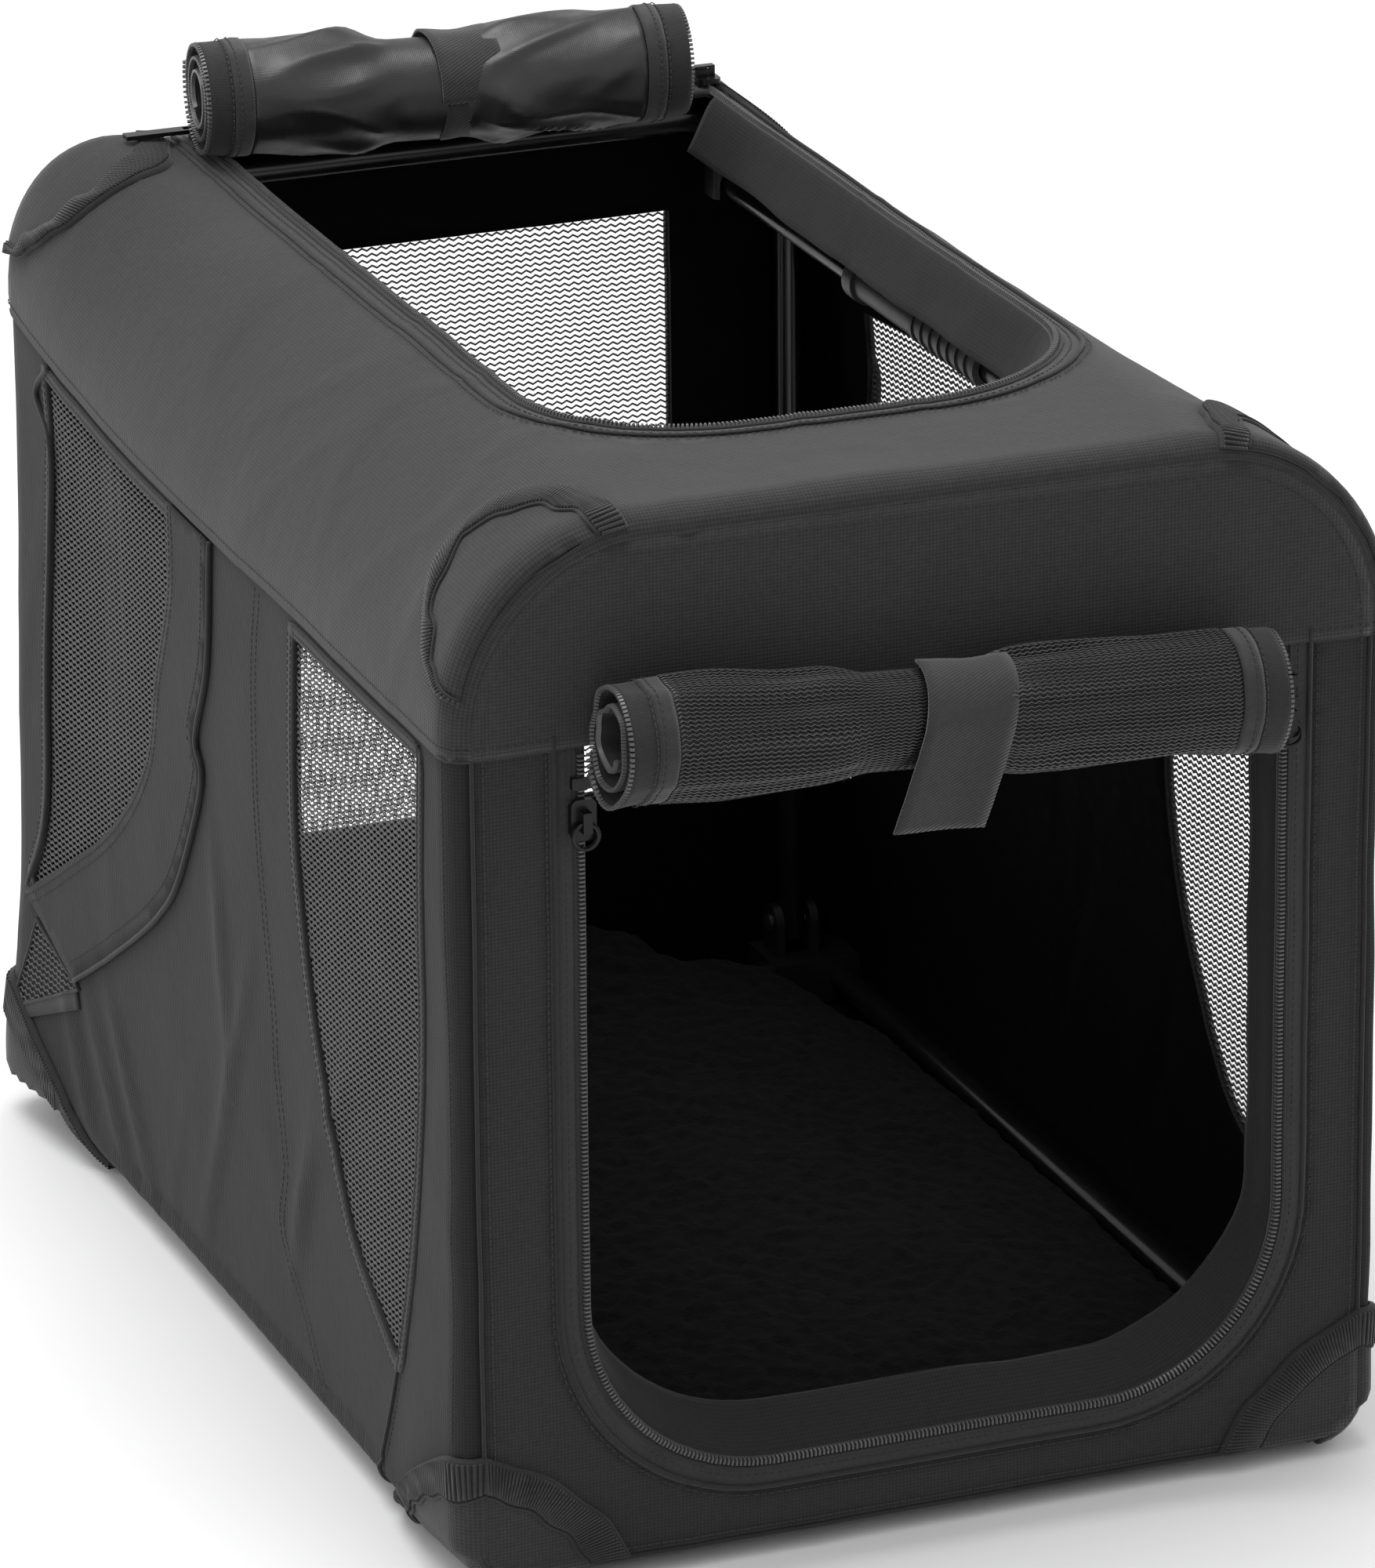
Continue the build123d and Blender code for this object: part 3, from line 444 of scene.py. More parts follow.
def loaf(u, v, h=0.0):
    """Point on the roof, walls and underside: u across, v along the cabin, h out of the surface."""
    x, z, nx, nz = section(u)
    end = 1.0 if v > 0 else -1.0
    turn = min(PI / 2, max(0.0, (abs(v) - (LEN - R_END)) / R_END))
    y = v if turn == 0 else end * (LEN - R_END + R_END * math.sin(turn))
    inward = R_END * (1.0 - math.cos(turn))
    base = Vector((x - nx * inward, y, z - nz * inward))
    n = Vector((nx * math.cos(turn), end * math.sin(turn), nz * math.cos(turn)))
    return grounded(base + n * (h + slack(base, n)) + racked(base))


def front(u, v, h=0.0):
    """Point on the end face round the door: u to the right, v up, h out of the surface."""
    base = Vector((u, -LEN, v))
    n = Vector((0, -1, 0))
    return base + n * (h + slack(base, n))


def back(u, v, h=0.0):
    """Point on the rear end face: u to the right seen from behind, v up, h out of the surface."""
    base = Vector((-u, LEN, v))
    n = Vector((0, 1, 0))
    return base + n * (h + slack(base, n)) + racked(base)


def wall_u(z, side):
    """Place across the section of a height on a side wall."""
    return side * (WALL_START + TOP - R_TOP - z)


def wall_path(points, side):
    """Side wall points given as (y, z) turned into places on the loaf."""
    return [(wall_u(z, side), y) for y, z in points]


# ---- paths in the plane ---------------------------------------------------------------
def spaced(points, step=0.004, closed=False):
    """The same path with points about a step apart."""
    pts = [Vector(p) for p in points]
    if closed:
        pts.append(pts[0].copy())
    out = []
    for a, b in zip(pts, pts[1:]):
        parts = max(1, round((b - a).length / step))
        out += [a.lerp(b, k / parts) for k in range(parts)]
    if not closed:
        out.append(pts[-1])
    return out


def curve(points, step=0.004):
    """Smooth open curve through the points."""
    pts = [Vector(p) for p in points]
    ends = [2 * pts[0] - pts[1]] + pts + [2 * pts[-1] - pts[-2]]
    out = []
    for k in range(1, len(ends) - 2):
        a, b, c, d = ends[k - 1 : k + 3]
        parts = max(2, round((c - b).length / step))
        for i in range(parts):
            t = i / parts
            square = (2 * a - 5 * b + 4 * c - d) * t**2
            cube = (3 * b - a - 3 * c + d) * t**3
            out.append(0.5 * (2 * b + (c - a) * t + square + cube))
    out.append(pts[-1])
    return out


def arc_points(centre, radius, start, end, parts=14):
    """Points on an arc, angles in degrees."""
    out = []
    for k in range(parts + 1):
        a = math.radians(start + (end - start) * k / parts)
        out.append(Vector((centre[0] + radius * math.cos(a), centre[1] + radius * math.sin(a))))
    return out


def u_path(middle, half, foot, head, radius, wider=0.0):
    """A U: down one side, round two corners (the right one may be wider), up the other side."""
    left, right = middle - half, middle + half
    second = radius + wider
    return (
        [Vector((left, head))]
        + arc_points((left + radius, foot + radius), radius, 180, 270)
        + arc_points((right - second, foot + second), second, 270, 360)
        + [Vector((right, head))]
    )


def rectangle(x0, y0, x1, y1):
    """Its corners, anticlockwise."""
    return [Vector(p) for p in ((x0, y0), (x1, y0), (x1, y1), (x0, y1))]


def ccw(points):
    """The loop running anticlockwise, so that left of travel is its inside."""
    area = sum(a.x * b.y - b.x * a.y for a, b in zip(points, points[1:] + points[:1]))
    return list(points) if area > 0 else list(points)[::-1]


def inside(points, polygon):
    """Which of the points (an n by 2 array) lie in the polygon."""
    poly = np.array([tuple(p) for p in polygon])
    x, y = points[:, 0][:, None], points[:, 1][:, None]
    x0, y0 = poly[:, 0], poly[:, 1]
    x1, y1 = np.roll(x0, -1), np.roll(y0, -1)
    with np.errstate(divide="ignore", invalid="ignore"):
        hit = ((y0 > y) != (y1 > y)) & (x < (x1 - x0) * (y - y0) / (y1 - y0) + x0)
    return hit.sum(1) % 2 == 1


# ---- mesh building --------------------------------------------------------------------
CLOTH_SLOT = "oxford_fabric"


def make(name, verts, faces, mats, uvs, slot, picks=None, smooth=True, soft=True, nodes=()):
    """One piece: a mesh with its finish that rides on the base; a soft piece gets its own copy of its mesh."""
    mesh = bpy.data.meshes.new(name)
    mesh.from_pydata([tuple(v) for v in verts], [], faces)
    layer = mesh.uv_layers.new(name="UVMap")
    layer.data.foreach_set("uv", np.array([c for f in faces for i in f for c in uvs[i]], np.float32))
    for m in mats:
        mesh.materials.append(m)
    if picks is not None:
        mesh.polygons.foreach_set("material_index", picks)
    mesh.polygons.foreach_set("use_smooth", [smooth] * len(faces))
    mesh.update()
    obj = bpy.data.objects.new(name, mesh)
    bpy.context.scene.collection.objects.link(obj)
    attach(obj, "base")
    if soft:
        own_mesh(obj)
    if nodes:
        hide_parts(*nodes)
    return obj


def slab(cols, rows):
    """Faces of a sheet with two sides: cols by rows cells, the points of its outer side first."""
    row = rows + 1
    count = (cols + 1) * row
    faces = []
    for i in range(cols):
        for j in range(rows):
            a = i * row + j
            quad = (a, a + 1, a + row + 1, a + row)
            faces += [quad, tuple(k + count for k in quad[::-1])]
        a, b = i * row, i * row + rows
        faces.append((a, a + row, a + row + count, a + count))
        faces.append((b + count, b + row + count, b + row, b))
    for j in range(rows):
        a, b = j, cols * row + j
        faces.append((a, a + count, a + 1 + count, a + 1))
        faces.append((b + 1, b + 1 + count, b + count, b))
    return faces


class Heap:
    """Gathers many small bits of mesh into one piece."""

    def __init__(self):
        self.verts, self.faces, self.uvs = [], [], []

    def add(self, verts, faces, uvs=None):
        first = len(self.verts)
        self.verts += verts
        self.uvs += uvs if uvs is not None else [(v[0], v[1]) for v in verts]
        self.faces += [tuple(i + first for i in f) for f in faces]

    def piece(self, name, mat, **more):
        return make(name, self.verts, self.faces, (mat,), self.uvs, **more)


def sheet(name, surface, outline, holes=(), thick=CLOTH, lift=0.0, step=0.008, mats=(OXFORD, LINING_PAINTED_SHADE), **more):
    """Cloth cut to an outline with holes and laid on a surface, lined on its inner side."""
    slot = more.pop("slot", CLOTH_SLOT)
    loops = [spaced(p, step, True) for p in (outline, *holes)]
    coords, edges = [], []
    for loop in loops:
        first = len(coords)
        coords += loop
        edges += [(first + k, first + (k + 1) % len(loop)) for k in range(len(loop))]
    rim = np.array([tuple(p) for p in coords])
    lo, hi = rim.min(0), rim.max(0)
    rows = np.arange(lo[1], hi[1], step * 0.87)
    cols = np.arange(lo[0], hi[0], step)
    grid = np.array([(c + (k % 2) * step / 2, r) for k, r in enumerate(rows) for c in cols])
    keep = inside(grid, loops[0])
    for hole in loops[1:]:
        keep &= ~inside(grid, hole)
    grid = grid[keep]
    for part in np.array_split(np.arange(len(rim)), max(1, len(rim) // 64)):
        gap = np.abs(grid[:, None, :] - rim[part][None, :, :])
        grid = grid[(np.hypot(gap[..., 0], gap[..., 1]) > step * 0.5).all(1)]
    coords += [Vector(p) for p in grid]
    found, _, faces, *_ = delaunay_2d_cdt(coords, edges, [], 0, 1e-9)
    middle = np.array([sum((found[i] for i in f), Vector((0, 0))) / len(f) for f in faces])
    keep = inside(middle, loops[0])
    for hole in loops[1:]:
        keep &= ~inside(middle, hole)
    faces = [tuple(f) for f, k in zip(faces, keep) if k]
    count = len(found)
    verts = [surface(p[0], p[1], lift) for p in found]
    verts += [surface(p[0], p[1], lift - thick) for p in found]
    uvs = [tuple(p) for p in found] * 2
    used = {}
    for f in faces:
        for a, b in zip(f, f[1:] + f[:1]):
            used[(a, b)] = used.get((a, b), 0) + 1
    border = [(a, b) for a, b in used if (b, a) not in used]
    shell = faces + [tuple(i + count for i in reversed(f)) for f in faces]
    shell += [(b, a, a + count, b + count) for a, b in border]
    picks = [0] * len(faces) + [1] * len(faces) + [0] * len(border)
    return make(name, verts, shell, mats, uvs, slot, picks=picks, **more)


def path_frames(path, closed):
    """For each path point: the point, its sideways direction (to the left of travel) and distance so far."""
    count = len(path)
    out, run = [], 0.0
    for k in range(count):
        before = path[(k - 1) % count] if closed or k else path[0]
        after = path[(k + 1) % count] if closed or k < count - 1 else path[-1]
        d = (after - before).normalized()
        if k:
            run += (path[k] - path[k - 1]).length
        out.append((path[k], Vector((-d.y, d.x)), run))
    return out


def band(heap, surface, path, profile, closed=False):
    """A strip along a path on a surface: its cross section is a loop of (sideways, out) offsets."""
    frames = path_frames(path, closed)
    n = len(profile)
    verts, uvs = [], []
    for point, left, run in frames:
        for k, (side, out) in enumerate(profile):
            q = point + left * side
            verts.append(surface(q.x, q.y, out))
            uvs.append((run, side))
    faces = []
    rings = len(frames)
    for r in range(rings if closed else rings - 1):
        a, b = r * n, ((r + 1) % rings) * n
        faces += [(a + k, a + (k + 1) % n, b + (k + 1) % n, b + k) for k in range(n)]
    if not closed:
        faces += [tuple(reversed(range(n))), tuple(range((rings - 1) * n, rings * n))]
    heap.add(verts, faces, uvs)


def flat_profile(a, b, low, high):
    """Cross section of a flat tape from sideways a to b, between two heights, with soft edges."""
    edge = 0.0005
    return [(a, low), (a, high - edge), (a + edge, high), (b - edge, high), (b, high - edge), (b, low)]


def round_profile(at, radius, height):
    """Cross section of a cord, eight-sided."""
    turns = [PI * k / 4 for k in range(8)]
    return [(at + radius * math.cos(a), height + radius * math.sin(a)) for a in turns][::-1]


def stations(path, pitch, closed=False):
    """Evenly spaced (point, travel, left) along a path."""
    pts = list(path) + ([path[0]] if closed else [])
    out, wait = [], pitch / 2
    for a, b in zip(pts, pts[1:]):
        length = (b - a).length
        if length < 1e-9:
            continue
        d = (b - a) / length
        at = wait
        while at < length:
            out.append((a + d * at, d, Vector((-d.y, d.x))))
            at += pitch
        wait = at - length
    return out


BEAD_FACES = [(3, 2, 1, 0), (0, 1, 5, 4), (1, 2, 6, 5), (2, 3, 7, 6), (3, 0, 4, 7), (4, 5, 6, 7)]


def beads(heap, surface, path, pitch, along, across, height, lift=0.0, offset=0.0, closed=False):
    """Small rounded bars set along a path: zip teeth or stitches."""
    for p, d, left in stations(path, pitch, closed):
        c = p + left * offset
        verts = []
        for out, shrink in ((lift, 1.0), (lift + height, 0.62)):
            for s, t in ((-1, -1), (1, -1), (1, 1), (-1, 1)):
                reach = t * across / 2 * shrink
                q = c + d * (s * along / 2 * shrink) + left * reach
                verts.append(surface(q.x, q.y, out))
        heap.add(verts, BEAD_FACES)


def net(heap, surface, outline, pitch=0.0029, wave=0.0048, wire=0.0011, height=-0.0012, swap=False):
    """Knitted mesh: zigzag threads along v (along u if swapped), whose peaks touch the next row."""
    poly = [Vector((p[1], p[0])) if swap else Vector((p[0], p[1])) for p in outline]
    us = [p.x for p in poly]
    u = min(us) + pitch / 2
    while u < max(us):
        cuts = []
        for a, b in zip(poly, poly[1:] + poly[:1]):
            if (a.x > u) != (b.x > u):
                cuts.append(a.y + (b.y - a.y) * (u - a.x) / (b.x - a.x))
        cuts.sort()
        for start, end in zip(cuts[::2], cuts[1::2]):
            first = math.ceil(start / (wave / 2))
            last = math.floor(end / (wave / 2))
            if last - first < 2:
                continue
            verts, faces = [], []
            for k in range(first, last + 1):
                up = 1 if k % 2 else -1
                a, b = u + up * pitch * 0.23, k * wave / 2
                for da, dh in ((wire * 0.5, -0.0001), (-wire * 0.5, -0.0001), (0.0, 0.0004)):
                    q = (b, a + da) if swap else (a + da, b)
                    verts.append(surface(q[0], q[1], height + dh))
                if k > first:
                    i = len(verts) - 6
                    faces += [(i + a, i + b, i + b + 3, i + a + 3) for a, b in ((0, 1), (1, 2), (2, 0))]
            faces += [(2, 1, 0), (len(verts) - 3, len(verts) - 2, len(verts) - 1)]
            heap.add(verts, faces)
        u += pitch


# ---- outlines on the cabin ------------------------------------------------------------
def rim_points(start, end, count):
    """The end face's rounded outline between two places across the section."""
    pts = []
    for u in np.linspace(start, end, count):
        x, z, nx, nz = section(u)
        pts.append(Vector((x - nx * R_END, z - nz * R_END)))
    return pts


def foot_rim(high):
    """The lower part of the end face's outline, from high on the left down, under and up on the right."""
    pts = rim_points(wall_u(high, 1), UNDER_START + HALF - R_FOOT, 60)
    return [Vector((-p.x, p.y)) for p in pts] + pts[::-1][1:]


FOLD_EDGE = 0.0115  # the cloth is folded back this far outside the middle of the coil
TUCK = 0.010  # the wall cloth runs this far up under the roof's hem

door_edge = u_path(DOOR_X, DOOR_TRACK + FOLD_EDGE, DOOR_FOOT - FOLD_EDGE, DOOR_HEAD, DOOR_R + FOLD_EDGE)
hatch_half, hatch_round = HATCH_TRACK + FOLD_EDGE, HATCH_R + FOLD_EDGE
hatch_edge = u_path(HATCH_X, hatch_half, HATCH_NOSE - FOLD_EDGE, HATCH_END + 0.006, hatch_round, HATCH_WIDER)
door_track = u_path(DOOR_X, DOOR_TRACK, DOOR_FOOT, SEAM_Z + 0.006, DOOR_R)
hatch_track = u_path(HATCH_X, HATCH_TRACK, HATCH_NOSE, HATCH_TAIL, HATCH_R, HATCH_WIDER)

# outlines on a side wall, as places (y, z)
FRONT_WINDOW = (
    curve(
        [(-0.101, 0.366), (-0.093, 0.309), (-0.091, 0.273), (-0.094, 0.234), (-0.110, 0.185), (-0.138, 0.136)]
    )
    + curve([(-0.142, 0.131), (-0.164, 0.107), (-0.210, 0.081), (-0.219, 0.079)])
    + curve([(-0.222, 0.084), (-0.242, 0.155), (-0.255, 0.248), (-0.263, 0.366)])
)
REAR_SWEEP = [(0.068, 0.332), (0.093, 0.283), (0.112, 0.235), (0.162, 0.185), (0.229, 0.141)]
REAR_WINDOW = (
    curve([(0.064, 0.366), *REAR_SWEEP, (0.272, 0.115)])
    + curve([(0.275, 0.119), (0.256, 0.160), (0.251, 0.239), (0.245, 0.291), (0.240, 0.335), (0.242, 0.366)])
)
BACK_LO, BACK_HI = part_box("window_back")
BACK_WINDOW = rectangle(BACK_LO.x, BACK_LO.z, BACK_HI.x, BACK_HI.z)

# ---- cloth shell ----------------------------------------------------------------------
seam_s = wall_u(SEAM_Z, 1)
HEM_LIFT = 0.0016  # the roof's hem lies over the walls' cloth
UNDER_TUCK = 0.004  # the floor's cloth and the walls' overlap
sheet(
    "roof_cloth",
    loaf,
    rectangle(-seam_s, -END_V, seam_s, END_V),
    [hatch_edge],
    lift=HEM_LIFT,
    nodes=("roof_panel",),
)
for side, s in (("left", -1), ("right", 1)):
    a, b = s * (seam_s - TUCK), s * (UNDER_START + UNDER_TUCK)
    sheet(
        f"side_cloth_{side}",
        loaf,
        rectangle(min(a, b), -END_V, max(a, b), END_V),
        [wall_path(FRONT_WINDOW, s), wall_path(REAR_WINDOW, s)],
        mats=(OXFORD_SIDE_PAINTED_SHADE, LINING_PAINTED_SHADE),
        nodes=(f"side_panel_{side}",),
        )
rim_top = rim_points(-seam_s, seam_s, 90)
door_down = [p for p in spaced(door_edge, 0.006) if p.y < DOOR_HEAD]
door_left, door_right = DOOR_X - DOOR_TRACK - FOLD_EDGE, DOOR_X + DOOR_TRACK + FOLD_EDGE
tucked = SEAM_Z + TUCK
sheet(
    "front_cloth_lower",
    front,
    foot_rim(tucked) + [Vector((door_right, tucked)), *door_down[::-1], Vector((door_left, tucked))],
    mats=(OXFORD_FRONT_PAINTED_SHADE, LINING_PAINTED_SHADE),
    nodes=("front_panel",),
)
sheet("front_cloth_upper", front, rim_top, lift=HEM_LIFT)
sheet(
    "back_cloth",
    back,
    foot_rim(SEAM_Z) + rim_top[::-1][1:-1],
    [BACK_WINDOW],
    nodes=("back_panel",),
)
under_end = UNDER_START + 2 * (HALF - R_FOOT)
sheet(
    "bottom_cloth",
    loaf,
    rectangle(UNDER_START - UNDER_TUCK, -END_V, under_end + UNDER_TUCK, END_V),
    step=0.012,
    thick=0.003,
    nodes=("floor_panel",),
)

# ---- mesh windows and their edges -------------------------------------------------------
STITCH_PITCH, STITCH_LONG = 0.0034, 0.0024
STITCH = dict(across=0.0006, height=0.0004)
stitches = Heap()


def stitch(surface, path, offset=0.0, lift=0.0, closed=False):
    """A row of lockstitch along a path."""
    place = dict(offset=offset, lift=lift, closed=closed)
    beads(stitches, surface, path, STITCH_PITCH, STITCH_LONG, **STITCH, **place)


bindings = Heap()
for side, s in (("left", -1), ("right", 1)):
    for place, outline in (("front", FRONT_WINDOW), ("rear", REAR_WINDOW)):
        loop = ccw(spaced(wall_path(outline, s), closed=True))
        threads = Heap()
        net(threads, loaf, loop, wire=0.0018)
        threads.piece(f"mesh_{place}_{side}", NET, nodes=(f"window_{place}_{side}",), slot="mesh")
        band(bindings, loaf, loop, flat_profile(-0.0065, 0.001, -0.001, 0.0011), closed=True)
        stitch(loaf, loop, -0.0015, 0.0011, True)
        stitch(loaf, loop, -0.0052, 0.0011, True)
loop = ccw(spaced(BACK_WINDOW, closed=True))
threads = Heap()
net(threads, back, loop, swap=True)
threads.piece("mesh_back", NET, nodes=("window_back",), slot="mesh")
band(bindings, back, loop, flat_profile(-0.008, 0.001, -0.001, 0.0028), closed=True)
stitch(back, loop, -0.002, 0.0028, True)

# ---- strips sewn over the side walls --------------------------------------------------
FRONT_SEAM = curve(
    [(-0.050, 0.372), (-0.040, 0.334), (-0.033, 0.260), (-0.037, 0.214), (-0.046, 0.171), (-0.048, 0.149)]
    + [(-0.062, 0.107)]
) + curve([(-0.061, 0.098), (-0.059, 0.073), (-0.088, 0.046), (-0.119, 0.016)])
BAND_INNER = curve([(0.064, 0.374), *REAR_SWEEP, (0.280, 0.110)])
BAND_OUTER = curve(
    [(0.006, 0.374), (0.018, 0.315), (0.042, 0.271), (0.037, 0.252), (0.072, 0.194), (0.104, 0.163)]
    + [(0.157, 0.127), (0.219, 0.089)]
)
REAR_EDGE = curve(
    [(0.234, 0.374), (0.257, 0.353), (0.238, 0.335), (0.244, 0.291), (0.250, 0.239), (0.254, 0.160)]
    + [(0.280, 0.113)]
)
FRONT_EDGE = curve(
    [(-0.264, 0.372), (-0.255, 0.248), (-0.242, 0.155), (-0.219, 0.077), (-0.198, 0.030), (-0.182, 0.002)]
)
TRIANGLE = [Vector((0.269, 0.100)), Vector((0.291, 0.050)), Vector((0.215, 0.086))]
cords = Heap()


def wall_line(points, side):
    """A line given as (y, z) on a side wall, as closely spaced places on the loaf."""
    return spaced(wall_path(points, side))


def cord(surface, path, radius, height, closed=False):
    """A piped edge or a rolled seam along a path."""
    band(cords, surface, path, round_profile(0.0, radius, height), closed)


for side, s in (("left", -1), ("right", 1)):
    sheet(
        f"window_strap_{side}",
        loaf,
        wall_path(BAND_INNER, s) + wall_path(BAND_OUTER, s)[::-1],
        thick=0.0012,
        lift=0.0026,
        step=0.007,
        mats=(OXFORD_SIDE_PAINTED_SHADE, BINDING),
    )
    outer, inner = wall_line(BAND_OUTER, s), wall_line(BAND_INNER, s)
    cord(loaf, outer, 0.0013, 0.0018)
    stitch(loaf, outer, 0.0085 * s, 0.0026)
    stitch(loaf, inner, -0.0025 * s, 0.0026)
    stitch(loaf, inner, -0.0065 * s, 0.0026)
    cord(loaf, wall_line(REAR_EDGE, s), 0.0014, 0.0012)
    stitch(loaf, wall_line(FRONT_SEAM, s))
    stitch(loaf, wall_line(FRONT_SEAM, s), 0.0055)
    front_edge = wall_line(FRONT_EDGE, s)
    cord(loaf, front_edge, 0.0009, 0.0006)
    stitch(loaf, front_edge, -0.004 * s)
    stitch(loaf, wall_line([(-0.291, 0.374), (-0.291, 0.070)], s))
    tri = ccw(spaced(wall_path(TRIANGLE, s), 0.003, True))
    cord(loaf, tri, 0.0011, 0.0008, True)
    threads = Heap()
    net(threads, loaf, tri, height=0.0010)
    threads.piece(f"mesh_gusset_{side}", NET, slot="mesh")
    hem = wall_line([(0.292, 0.048), (0.216, 0.080)], s)
    band(bindings, loaf, hem, flat_profile(-0.004, 0.004, 0.0, 0.0014))

# ---- seams of the cabin ---------------------------------------------------------------
for s in (-1, 1):
    hem = spaced([(s * seam_s, -END_V), (s * seam_s, END_V)], 0.005)
    cord(loaf, hem, 0.0011, 0.0006)
    stitch(loaf, hem, s * 0.0045, HEM_LIFT)
for surface in (front, back):
    rim = spaced(ccw(foot_rim(SEAM_Z) + rim_top[::-1][1:-1]), closed=True)
    cord(surface, rim, 0.0010, 0.0006, True)
    stitch(surface, rim, 0.0045, HEM_LIFT, True)
for a, b in ((-HALF + R_END, door_left), (door_right, HALF - R_END)):
    hem = spaced([(a, SEAM_Z), (b, SEAM_Z)])
    cord(front, hem, 0.0010, 0.0006)
    stitch(front, hem, 0.0042, HEM_LIFT)
for a, b in ((-HALF + R_END, BACK_LO.x), (BACK_HI.x, HALF - R_END)):
    cord(back, spaced([(a, SEAM_Z), (b, SEAM_Z)]), 0.0010, 0.0006)

# ---- zips: tape, teeth, the folded edge beside them and the hem inside --------------------
TAPE_IN, TAPE_OUT = 0.0022, 0.0135  # the tape runs from its teeth outwards under the cloth's edge
tapes, teeth = Heap(), Heap()


def zip_line(surface, track, lift):
    """Tape and one row of teeth along a track whose left is the opening."""
    path = spaced(track, 0.003)
    band(tapes, surface, path, flat_profile(-TAPE_OUT, TAPE_IN, lift - 0.0012, lift))
    shown = [p for p in path if surface is loaf or p.y < DOOR_HEAD]
    beads(teeth, surface, shown, pitch=0.0019, along=0.0012, across=0.0036, height=0.0018, lift=lift)
    band(cords, surface, path, round_profile(-0.0026, 0.0009, lift + 0.0002))
    band(cords, surface, path, round_profile(-FOLD_EDGE, 0.0010, lift + 0.0008))
    stitch(surface, path, -FOLD_EDGE - 0.0035, lift + 0.0006)
    stitch(surface, path, -0.0065, lift)


zip_line(front, door_track, 0.0004)
zip_line(loaf, hatch_track, 0.0016)


def hanging_hem(name, surface, track, start, depth, lift, waves, mat, side_lean, foot_lean):
    """A hem turned into the opening: it leaves the tape's inner edge and slants inwards, slightly wavy."""
    path = spaced(track)
    frames = path_frames(path, False)
    rows = 8
    verts, uvs = [], []
    for face in (0, 1):
        for point, left, run in frames:
            for k in range(rows + 1):
                t = k / rows
                sway = waves * t * noise.noise(Vector((run * 26.0, t * 1.5, 2.0)))
                length = depth * (1.0 + 0.12 * noise.noise(Vector((run * 9.0, 4.0, 0.0))))
                lean = side_lean * abs(left.x) + foot_lean * abs(left.y)
                turn_in = 0.0015 * math.sin(min(1.0, t * 4.0) * PI / 2) + lean * length * t
                q = point + left * (start + turn_in + sway - face * 0.0012)
                verts.append(surface(q.x, q.y, lift - length * t - (0.0008 if face else 0.0)))
                uvs.append((run, length * t))
    return make(name, verts, slab(len(frames) - 1, rows), (mat,), uvs, slot=CLOTH_SLOT)


hanging_hem("door_hem", front, door_track, TAPE_IN - 0.001, 0.022, 0.0006, 0.0018, OXFORD_SIDE_PAINTED_SHADE, 0.08, 0.7)
hatch_run = u_path(HATCH_X, HATCH_TRACK, HATCH_NOSE, HATCH_END, HATCH_R, HATCH_WIDER)
hanging_hem("hatch_hem", loaf, hatch_run, TAPE_IN - 0.001, 0.027, 0.0018, 0.0016, OXFORD_SIDE_PAINTED_SHADE, 0.5, 0.15)

tapes.piece("zip_tapes", TAPE, nodes=("front_zip_coil",), slot="zip_coil")
teeth.piece("zip_teeth", TEETH, nodes=("top_zip_coil",), smooth=False, slot="zip_coil")

# ---- rolled flaps ---------------------------------------------------------------------
class Roll:
    """A flap rolled up round a line from a to b, as a surface: u along it, v in turns from its outer end."""

    def __init__(self, a, b, radius, core, turns, start, shape):
        self.a, self.b = Vector(a), Vector(b)
        self.length = (self.b - self.a).length
        self.axis = (self.b - self.a).normalized()
        self.out = Vector((0, -1, 0)) if abs(self.axis.y) < 0.5 else Vector((1, 0, 0))
        self.out = (self.out - self.axis * self.out.dot(self.axis)).normalized()
        self.up = self.axis.cross(self.out)
        self.radius, self.core, self.turns = radius, core, turns
        self.start, self.shape = start, shape

    def __call__(self, u, v, h=0.0):
        r = self.radius - (self.radius - self.core) * v / self.turns
        angle = self.start - 2 * PI * v
        r, drop = self.shape(u / self.length, angle, v, r)
        centre = self.a + self.axis * u + Vector((0, 0, drop))
        way = self.out * math.cos(angle) + self.up * math.sin(angle)
        return centre + way * (r + h)


def rolled(name, roll, u0, u1, thick, mat, steps=(90, 40), lift=0.0, **more):
    """The spiral sheet itself between two places along the roll."""
    rows, cols = int(steps[0] * roll.turns), steps[1]
    verts, uvs = [], []
    for face in (0, 1):
        for i in range(cols + 1):
            for j in range(rows + 1):
                u, v = u0 + (u1 - u0) * i / cols, roll.turns * j / rows
                verts.append(roll(u, v, lift - thick * face))
                uvs.append((u, v * 2 * PI * roll.radius))
    return make(name, verts, slab(cols, rows), (mat,), uvs, **more)


DOOR_TIE = 0.455  # where along their rolls the straps sit
HATCH_TIE = 0.47


def held(t, tie, half):
    """1 under a strap, falling to 0 on both sides of it."""
    return math.exp(-((max(0.0, abs(t - tie) - half) / 0.05) ** 2))


